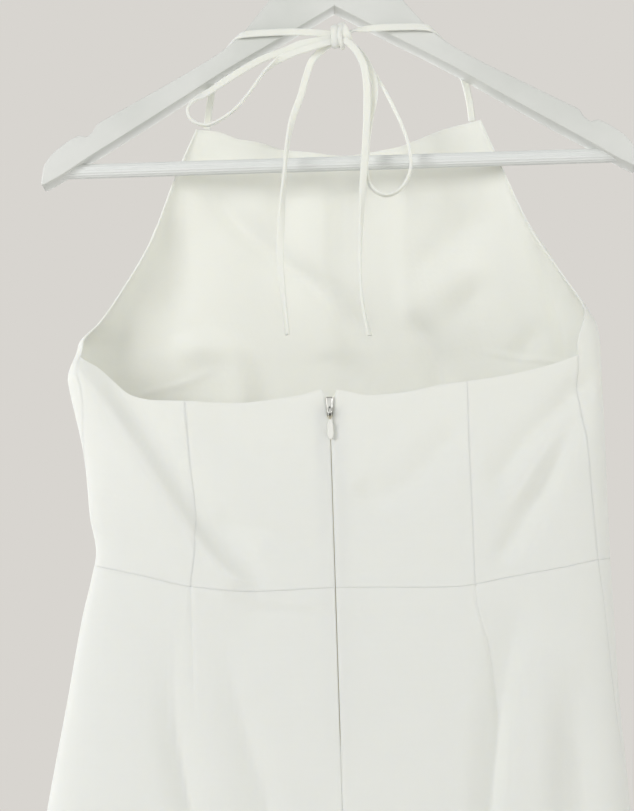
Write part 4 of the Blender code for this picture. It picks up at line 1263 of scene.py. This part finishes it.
@dataclass
class ConcealedZip:
    """The zip: its tapes and coil behind the cloth's edges, its slider and the pull that hangs in it."""

    tape_columns: int = 10
    tape_rows: int = 120
    tape_wall: float = 0.7
    tape_inner: float = 0.15
    tape_outer: float = 11.0
    tape_inset: float = 1.25
    tape_top_z: float = -411.0
    tape_end_z: float = -656.0
    coil_pitch: float = 1.25
    coil_radius: float = 1.1
    coil_wire: float = 0.32
    coil_segments: int = 10
    coil_lean: float = 20.0
    coil_behind: float = 1.2
    coil_clear_top: float = 1.0
    coil_clear_end: float = 4.0
    slider_top_z: float = -406.0
    slider_end_z: float = -419.5
    slider_top_width: float = 5.4
    slider_end_width: float = 3.8
    slider_depth: float = 3.4
    slider_corner: float = 1.1
    slider_edge: float = 0.18
    dish_rim: float = 0.75
    dish_depth: float = 0.7
    arch_width: float = 1.1
    arch_bar: float = 1.2
    arch_height: float = 6.0
    arch_inner_depth: float = 1.7
    arch_root: float = 1.4
    pull_wall: float = 1.5
    pull_edge: float = 0.55
    eye_size: tuple[float, float, float] = (1.55, 4.0, 4.4)
    eye_drop: float = 0.55
    pieces: list[bpy.types.Object] = field(default_factory=list)

    def tape(self, side: str) -> ClothPanel:
        """One tape, behind the cloth's edge on its side of the zip.

        Args:
            side: left or right.

        Returns:
            The tape as a panel.
        """
        way = -1 if side == "left" else 1

        def edges(z: Array) -> Levels:
            """The angles of the tape's two edges, from left to right."""
            return tuple(FORM.angle_at(z, FORM.centre_back_x + way * reach)
                         for reach in (self.tape_outer, self.tape_inner)[::-way])

        def heights(x: Array) -> Levels:
            """The heights of the tape's foot and top."""
            return np.full_like(x, self.tape_end_z), np.full_like(x, self.tape_top_z)

        return ClothPanel("zip_tape_" + side, crowded(self.tape_columns, crowding=0),
                          crowded(self.tape_rows, crowding=0), edges, heights, Edge.TURNED, Edge.TURNED,
                          Edge.TURNED, Edge.TURNED, wall=self.tape_wall, inset=self.tape_inset)

    def coil(self) -> bpy.types.Object:
        """The closed nylon coil between the tapes, as one row of small loops.

        Returns:
            The piece.
        """
        mesh = bmesh.new()
        lying = Matrix.Rotation(math.radians(self.coil_lean), 4, "X")
        z = self.slider_end_z - self.coil_clear_top
        while z > self.tape_end_z + self.coil_clear_end:
            here = np.array([z])
            spot = FORM.skin(here, FORM.angle_at(here, np.array([FORM.centre_back_x])))[0]
            centre = Vector((spot[0], spot[1] + self.coil_behind, z))
            loop = bmesh.ops.create_circle(mesh, cap_ends=False, segments=self.coil_segments,
                                           radius=self.coil_radius * MM)["verts"]
            bmesh.ops.transform(mesh, matrix=Matrix.Translation(centre * MM) @ lying, verts=loop)
            edges = list({edge for vert in loop for edge in vert.link_edges})
            extruded = bmesh.ops.extrude_edge_only(mesh, edges=edges)
            raised = [item for item in extruded["geom"] if isinstance(item, bmesh.types.BMVert)]
            bmesh.ops.translate(mesh, vec=(0, 0, self.coil_wire * 2 * MM), verts=raised)
            z -= self.coil_pitch
        bmesh.ops.recalc_face_normals(mesh, faces=mesh.faces[:])
        piece = add_object("zip_coil", mesh, 60)
        thick = piece.modifiers.new("Wire", "SOLIDIFY")
        thick.thickness = self.coil_wire * 1.6 * MM
        thick.offset = -1.0
        return piece

    def slider(self) -> bpy.types.Object:
        """The slider: a flared body with a dished face, and the arch that the pull hangs in.

        Returns:
            The piece.
        """
        body_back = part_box("zip_slider")[1].y / MM
        body_face = body_back - self.slider_depth
        middle = (self.slider_top_z + self.slider_end_z) / 2
        tall = self.slider_top_z - self.slider_end_z
        mesh = bmesh.new()
        made = bmesh.ops.create_cube(mesh, size=1)
        for vert in made["verts"]:
            wide = self.slider_top_width if vert.co.z > 0 else self.slider_end_width
            vert.co = Vector((vert.co.x * wide + FORM.centre_back_x,
                              (body_face + body_back) / 2 + vert.co.y * self.slider_depth,
                              middle + vert.co.z * tall)) * MM
        through = [edge for edge in mesh.edges
                   if abs(edge.verts[0].co.y - edge.verts[1].co.y) > self.slider_depth * 0.9 * MM]
        bmesh.ops.bevel(mesh, geom=through, offset=self.slider_corner * MM, affect="EDGES", segments=4,
                        profile=0.5, material=-1)
        outer = max(mesh.faces, key=lambda face: -face.calc_center_median().y)
        bmesh.ops.inset_region(mesh, faces=[outer], thickness=self.dish_rim * MM,
                               depth=-self.dish_depth * MM)
        bmesh.ops.bevel(mesh, geom=mesh.edges[:], offset=self.slider_edge * MM, affect="EDGES",
                        segments=2, profile=0.5, material=-1)
        arch_face = body_face - self.arch_inner_depth - self.arch_bar
        leg_depth = body_face + self.arch_root - arch_face
        half_bar = self.arch_bar / 2
        foot, top = self.slider_end_z, self.slider_end_z + self.arch_height
        add_block(mesh, Vector((FORM.centre_back_x, arch_face + half_bar, (foot + top) / 2)),
                  Vector((self.arch_width, self.arch_bar, self.arch_height)))
        for z in (foot + half_bar, top - half_bar):
            add_block(mesh, Vector((FORM.centre_back_x, arch_face + leg_depth / 2, z)),
                      Vector((self.arch_width, leg_depth, self.arch_bar)))
        return add_object("zip_slider_body", mesh, 50)

    def pull(self) -> bpy.types.Object:
        """The teardrop pull: a narrow eye on the arch, then a plump drop.

        Returns:
            The piece.
        """
        hinge = [joint for joint in frame["joints"] if joint["name"] == "pull_swing"][0]
        pivot = Vector(hinge["pos_m"]) / MM
        halves = [(float(PULL_OUTLINE.read("half", z)), z) for z in PULL_HEIGHTS]
        outline = [Vector((half, 0, z)) for half, z in halves]
        outline += [Vector((-half, 0, z)) for half, z in halves[::-1]]
        mesh = slab(outline, self.pull_wall, self.pull_edge, 3)
        bmesh.ops.translate(mesh, verts=mesh.verts[:], vec=pivot * MM)
        piece = add_object("zip_pull_drop", mesh, 60)
        eye = bmesh.new()
        size = Vector(self.eye_size)
        add_block(eye, pivot - Vector((0, 0, self.eye_drop + size.z / 2)), size)
        cutter = add_object("pull_eye_cutter", eye)
        cut = piece.modifiers.new("Eye", "BOOLEAN")
        cut.object = cutter
        cut.operation = "DIFFERENCE"
        cut.solver = "EXACT"
        apply_modifiers(piece)
        bpy.data.objects.remove(cutter)
        return piece

    def build(self, tape: Cloths, metal: bpy.types.Material, enamel: bpy.types.Material) -> None:
        """Builds the zip.

        Args:
            tape: The tapes' and the coil's material.
            metal: The slider's metal.
            enamel: The pull's enamel.
        """
        for side in ("left", "right"):
            self.pieces.append(self.tape(side).build(tape, "zip_tape", ("hanger_bar",)))
        self.pieces.append(finish_piece(self.coil(), tape[1], "zip_tape"))
        self.pieces.append(finish_piece(self.slider(), metal, "zip_metal", "zip_slider"))
        self.pieces.append(finish_piece(self.pull(), enamel, "enamel", "zip_pull", body=PULL_BODY))


def apply_modifiers(piece: bpy.types.Object) -> None:
    """Makes a piece's modifiers part of its mesh.

    Args:
        piece: The piece.
    """
    bpy.context.view_layer.update()
    graph = bpy.context.evaluated_depsgraph_get()
    done = bpy.data.meshes.new_from_object(piece.evaluated_get(graph))
    old = piece.data
    piece.modifiers.clear()
    piece.data = done
    bpy.data.meshes.remove(old)


# One arm of the hanger as it is sawn, from the mitre round the top to the tip and back, with the
# rounding of each corner
ARM_OUTLINE = (
    (0, -62, 0), (11, -62, 2), (16, -63.5, 3), (20, -67, 3), (28, -76, 5), (38, -86, 6), (50, -100.5, 8),
    (61, -114, 8), (72, -127, 8), (88, -139.5, 8), (111, -153, 8), (145, -171.5, 8), (180, -190.5, 2),
    (183, -196, 2), (188, -200.5, 2), (193.5, -198.5, 2), (203, -203.5, 4), (214, -212, 4),
    (220.5, -221, 4), (222.5, -236, 2.5), (219, -235, 1.5), (206, -228, 4), (190, -217.5, 8),
    (155, -196.5, 8), (115, -172, 8), (92, -157.5, 8), (68, -143.5, 8), (39, -127.5, 8), (0, -105, 0))


@dataclass
class WoodenHanger:
    """Two mitred arms, a round bar in a ribbed sleeve let into them, and a wire hook. In mm."""

    arm_thickness: float = 22.0
    arm_edge: float = 2.4
    mitre_gap: float = 0.02
    bar_radius: float = 5.5
    bar_z: float = -224.0
    bar_half_length: float = 211.0
    ribs: int = 16
    rib_height: float = 0.35
    wire_radius: float = 1.75
    hook_radius: float = 22.0
    hook_joins: float = -58.0
    hook_ends: float = 200.0
    hook_places: int = 60
    hook_root: float = 8.0
    knee_places: tuple[float, ...] = (0.18, 0.36, 0.54, 0.72, 0.88)
    shank_straight: float = 6.0
    wood_top_z: float = -62.0
    pieces: list[bpy.types.Object] = field(default_factory=list)

    def rounded_outline(self, way: int) -> list[Vector]:
        """The arm's outline with its corners rounded.

        Args:
            way: -1 for the left arm and 1 for the right one.

        Returns:
            The outline's points in mm.
        """
        corners = [Vector((x, z)) for x, z, _ in ARM_OUTLINE]
        points = []
        for i, (corner, (_, _, radius)) in enumerate(zip(corners, ARM_OUTLINE)):
            before, after = corners[i - 1], corners[(i + 1) % len(corners)]
            if radius == 0:
                points.append(corner)
                continue
            back, on = before - corner, after - corner
            reach = min(radius, back.length * 0.45, on.length * 0.45)
            start, end = corner + back.normalized() * reach, corner + on.normalized() * reach
            for t in (0.0, 0.33, 0.67, 1.0):
                points.append(start * (1 - t) ** 2 + corner * 2 * t * (1 - t) + end * t * t)
        return [Vector((way * max(point.x, self.mitre_gap / 2), 0, point.y)) for point in points]

    def arm(self, name: str, way: int) -> bpy.types.Object:
        """One arm with soft edges.

        Args:
            name: The piece's name.
            way: -1 for the left arm and 1 for the right one.

        Returns:
            The piece.
        """
        mesh = slab(self.rounded_outline(way), self.arm_thickness, self.arm_edge, 4, self.mitre_gap)
        return add_object(name, mesh, 50)

    def bar(self) -> bpy.types.Object:
        """The bar in its sleeve, with fine ribs along it.

        Returns:
            The piece.
        """
        mesh = bmesh.new()
        segments = self.ribs * 6
        bmesh.ops.create_cone(mesh, cap_ends=True, segments=segments, radius1=self.bar_radius * MM,
                              radius2=self.bar_radius * MM, depth=2 * self.bar_half_length * MM)
        for vert in mesh.verts:
            turn = math.atan2(vert.co.y, vert.co.x)
            grow = 1 - self.rib_height / self.bar_radius * (0.5 - 0.5 * math.cos(self.ribs * turn)) ** 2
            vert.co.x *= grow
            vert.co.y *= grow
        bmesh.ops.rotate(mesh, verts=mesh.verts[:], matrix=Matrix.Rotation(math.radians(90), 3, "Y"))
        bmesh.ops.translate(mesh, verts=mesh.verts[:], vec=(0, 0, self.bar_z * MM))
        return add_object("bar_sleeve", mesh, 50)

    def hook(self) -> bpy.types.Object:
        """The wire hook, bent from one round wire, with flat capped ends.

        Returns:
            The piece.
        """
        radius = self.hook_radius + self.wire_radius
        knee = Vector((0, 0, self.wood_top_z + self.shank_straight))
        turn = math.radians(self.hook_joins)
        join = Vector((radius * math.cos(turn), 0, radius * math.sin(turn) - self.hook_radius))
        points = [Vector((0, 0, self.wood_top_z - self.hook_root)), Vector((0, 0, self.wood_top_z)), knee]
        for t in self.knee_places:
            bulge = Vector((-math.sin(math.pi * t), 0, math.sin(math.pi * t) / 3)) * self.wire_radius
            points.append(knee.lerp(join, t) + bulge)
        for degrees in np.linspace(self.hook_joins, self.hook_ends, self.hook_places):
            turn = math.radians(degrees)
            points.append(Vector((radius * math.cos(turn), 0, radius * math.sin(turn) - self.hook_radius)))
        curve = bpy.data.curves.new("hook_line", "CURVE")
        curve.dimensions = "3D"
        curve.bevel_depth = self.wire_radius * MM
        curve.bevel_resolution = 6
        curve.use_fill_caps = True
        spline = curve.splines.new("POLY")
        spline.points.add(len(points) - 1)
        for spot, point in zip(spline.points, points):
            spot.co = (*(point * MM), 1)
        line = add_to_scene("hook_line", curve)
        bpy.context.view_layer.update()
        data = bpy.data.meshes.new_from_object(line.evaluated_get(bpy.context.evaluated_depsgraph_get()))
        bpy.data.objects.remove(line)
        data.shade_smooth()
        data.set_sharp_from_angle(angle=math.radians(50))
        return add_to_scene("hook_wire_bent", data)

    def build(self, paint: bpy.types.Material, sleeve: bpy.types.Material,
              wire: bpy.types.Material) -> None:
        """Builds the hanger.

        Args:
            paint: The arms' paint.
            sleeve: The bar's sleeve.
            wire: The hook's metal.
        """
        for side, way in (("left", -1), ("right", 1)):
            arm = self.arm("painted_arm_" + side, way)
            self.pieces.append(finish_piece(arm, paint, "painted_wood", "hanger_arm_" + side))
        self.pieces.append(finish_piece(self.bar(), sleeve, "sleeve", "hanger_bar"))
        self.pieces.append(finish_piece(self.hook(), wire, "hook_wire", "hanger_hook"))


@dataclass
class Studio:
    """The camera at the photo's angle, soft lights, a plain backdrop colour and a pale floor."""

    focal_px: float = 2032.0
    image_long_side: float = 811.0
    distance: float = 1500.0
    pitch: float = 7.2
    roll: float = 1.78
    target: tuple[float, float, float] = (-22.5, 0.0, -406.0)
    backdrop: str = "d8d5d0"
    floor_z: float = -1250.0
    sensor_mm: float = 36.0
    aim: tuple[float, float, float] = (0.0, 0.0, -0.5)

    def camera(self) -> None:
        """Places the camera."""
        tilt, lean = math.radians(self.pitch), math.radians(self.roll)
        ahead = Vector((0, math.cos(tilt), math.sin(tilt)))
        right = Vector((1, 0, 0))
        up = right.cross(ahead)
        across = right * math.cos(lean) - up * math.sin(lean)
        upward = right * math.sin(lean) + up * math.cos(lean)
        data = bpy.data.cameras.new("camera")
        data.sensor_width = self.sensor_mm
        data.lens = self.sensor_mm * self.focal_px / self.image_long_side
        data.clip_start = 0.05
        data.clip_end = 50
        eye = add_to_scene("camera", data)
        spot = Vector(self.target) - ahead * self.distance
        turn = Matrix((across, upward, -ahead)).transposed().to_4x4()
        eye.matrix_world = Matrix.Translation(spot * MM) @ turn
        bpy.context.scene.camera = eye

    def world(self) -> None:
        """Sets an even light from all round, while the camera sees the backdrop's colour there."""
        world = bpy.data.worlds.new("studio")
        bpy.context.scene.world = world
        world.use_nodes = True
        tree = world.node_tree
        tree.nodes.clear()
        light = add_node(tree, "Background", {"Color": ink("f2f4f5"), "Strength": 0.36})
        seen = add_node(tree, "Background", {"Color": ink(self.backdrop), "Strength": 1.0})
        path = add_node(tree, "LightPath")
        mix = add_node(tree, "MixShader", {0: path.outputs["Is Camera Ray"], 1: light.outputs[0],
                                           2: seen.outputs[0]})
        add_node(tree, "OutputWorld", {"Surface": mix.outputs[0]})

    def lamp(self, name: str, place: tuple[float, float, float], size: float, watts: float,
             colour: str) -> None:
        """Adds a soft square light that faces the dress.

        Args:
            name: The light's name.
            place: Where it stands, in metres.
            size: The length of its side in metres.
            watts: Its power.
            colour: Its colour in hex.
        """
        data = bpy.data.lights.new(name, "AREA")
        data.size = size
        data.energy = watts
        data.color = ink(colour)[:3]
        lamp = add_to_scene(name, data)
        turn = (Vector(self.aim) - Vector(place)).to_track_quat("-Z", "Y")
        lamp.matrix_world = Matrix.Translation(place) @ turn.to_matrix().to_4x4()

    def floor(self) -> None:
        """Lays the pale floor under the dress."""
        mesh = bmesh.new()
        bmesh.ops.create_circle(mesh, cap_ends=True, segments=96, radius=2.2)
        bmesh.ops.translate(mesh, verts=mesh.verts[:], vec=(0, 0, self.floor_z * MM))
        floor = add_object("floor", mesh)
        # Matt paint, rolled on: an even pale skin
        paint = SmoothSkin("rolled_matt_floor_paint", "", "dcdad6", 0.9, other="d8d6d2", grain_mm=6).make()
        floor.data.materials.append(paint)

    def build(self) -> None:
        """Sets up the whole studio."""
        bpy.context.scene.view_settings.view_transform = "Standard"
        self.camera()
        self.world()
        self.lamp("key_light", (-1.95, -2.1, 0.2), 1.3, 40.0, "ffffff")
        self.lamp("fill_light", (0.8, -2.7, 0.1), 2.0, 14.0, "fffefa")
        self.lamp("left_light", (-2.2, 1.2, 0.1), 2.0, 30.0, "ffffff")
        self.lamp("right_light", (2.4, -0.8, 0.0), 2.0, 22.0, "fffefa")
        self.lamp("front_light", (0.2, 2.2, 0.3), 1.6, 24.0, "ffffff")
        self.floor()


def main() -> None:
    """Builds the dress, its ties and zip, the hanger and the studio."""
    logging.basicConfig(level=logging.INFO, format="%(message)s")
    # Heavy plain-woven cloth, piece dyed: matt ivory with a very slight bloom
    cloth = WovenCloth("plain_woven_ivory_cloth", "cloth", "ecede6", 0.85).both()
    # Woven polyester zip tape: finer threads. Its colour is darker and yellower than the tape's own, as
    # painted shade and warm bounce light for the narrow gap where it shows
    tape = WovenCloth("woven_beige_zip_tape_with_painted_gap_shade", "zip_tape", "dad3b6", 0.8, other="d4cdae",
                      thread_mm=0.6).both()
    # Die-cast zinc, tumbled: a satin grey metal
    metal = SmoothSkin("die_cast_zinc_slider", "zip_metal", "c9c9c5", 0.3, 1.0, grain_mm=0.8).make()
    # Stoved enamel over zinc: ivory, with a soft gloss
    enamel = SmoothSkin("stoved_ivory_enamel", "enamel", "eaeae4", 0.3, coat=0.4, grain_mm=2).make()
    # Sprayed paint on lotus wood: satin white with a trace of grain
    paint = PaintedWood("sprayed_white_paint_on_wood", "painted_wood", "dfe0dc", 0.42).make()
    # Extruded soft plastic sleeve: white with a slight gloss on its ribs
    sleeve = SmoothSkin("extruded_white_sleeve", "sleeve", "e6e8e6", 0.5, grain_mm=5).make()
    # Polished steel wire, chrome plated: a sharp mirror
    wire = SmoothSkin("chrome_plated_steel_wire", "hook_wire", "d2d3d4", 0.12, 1.0).make()
    Bodice().build(cloth)
    Skirt().build(cloth)
    NeckTies().build(cloth)
    ConcealedZip().build(tape, metal, enamel)
    WoodenHanger().build(paint, sleeve, wire)
    Studio().build()


if __name__ == "__main__":
    main()
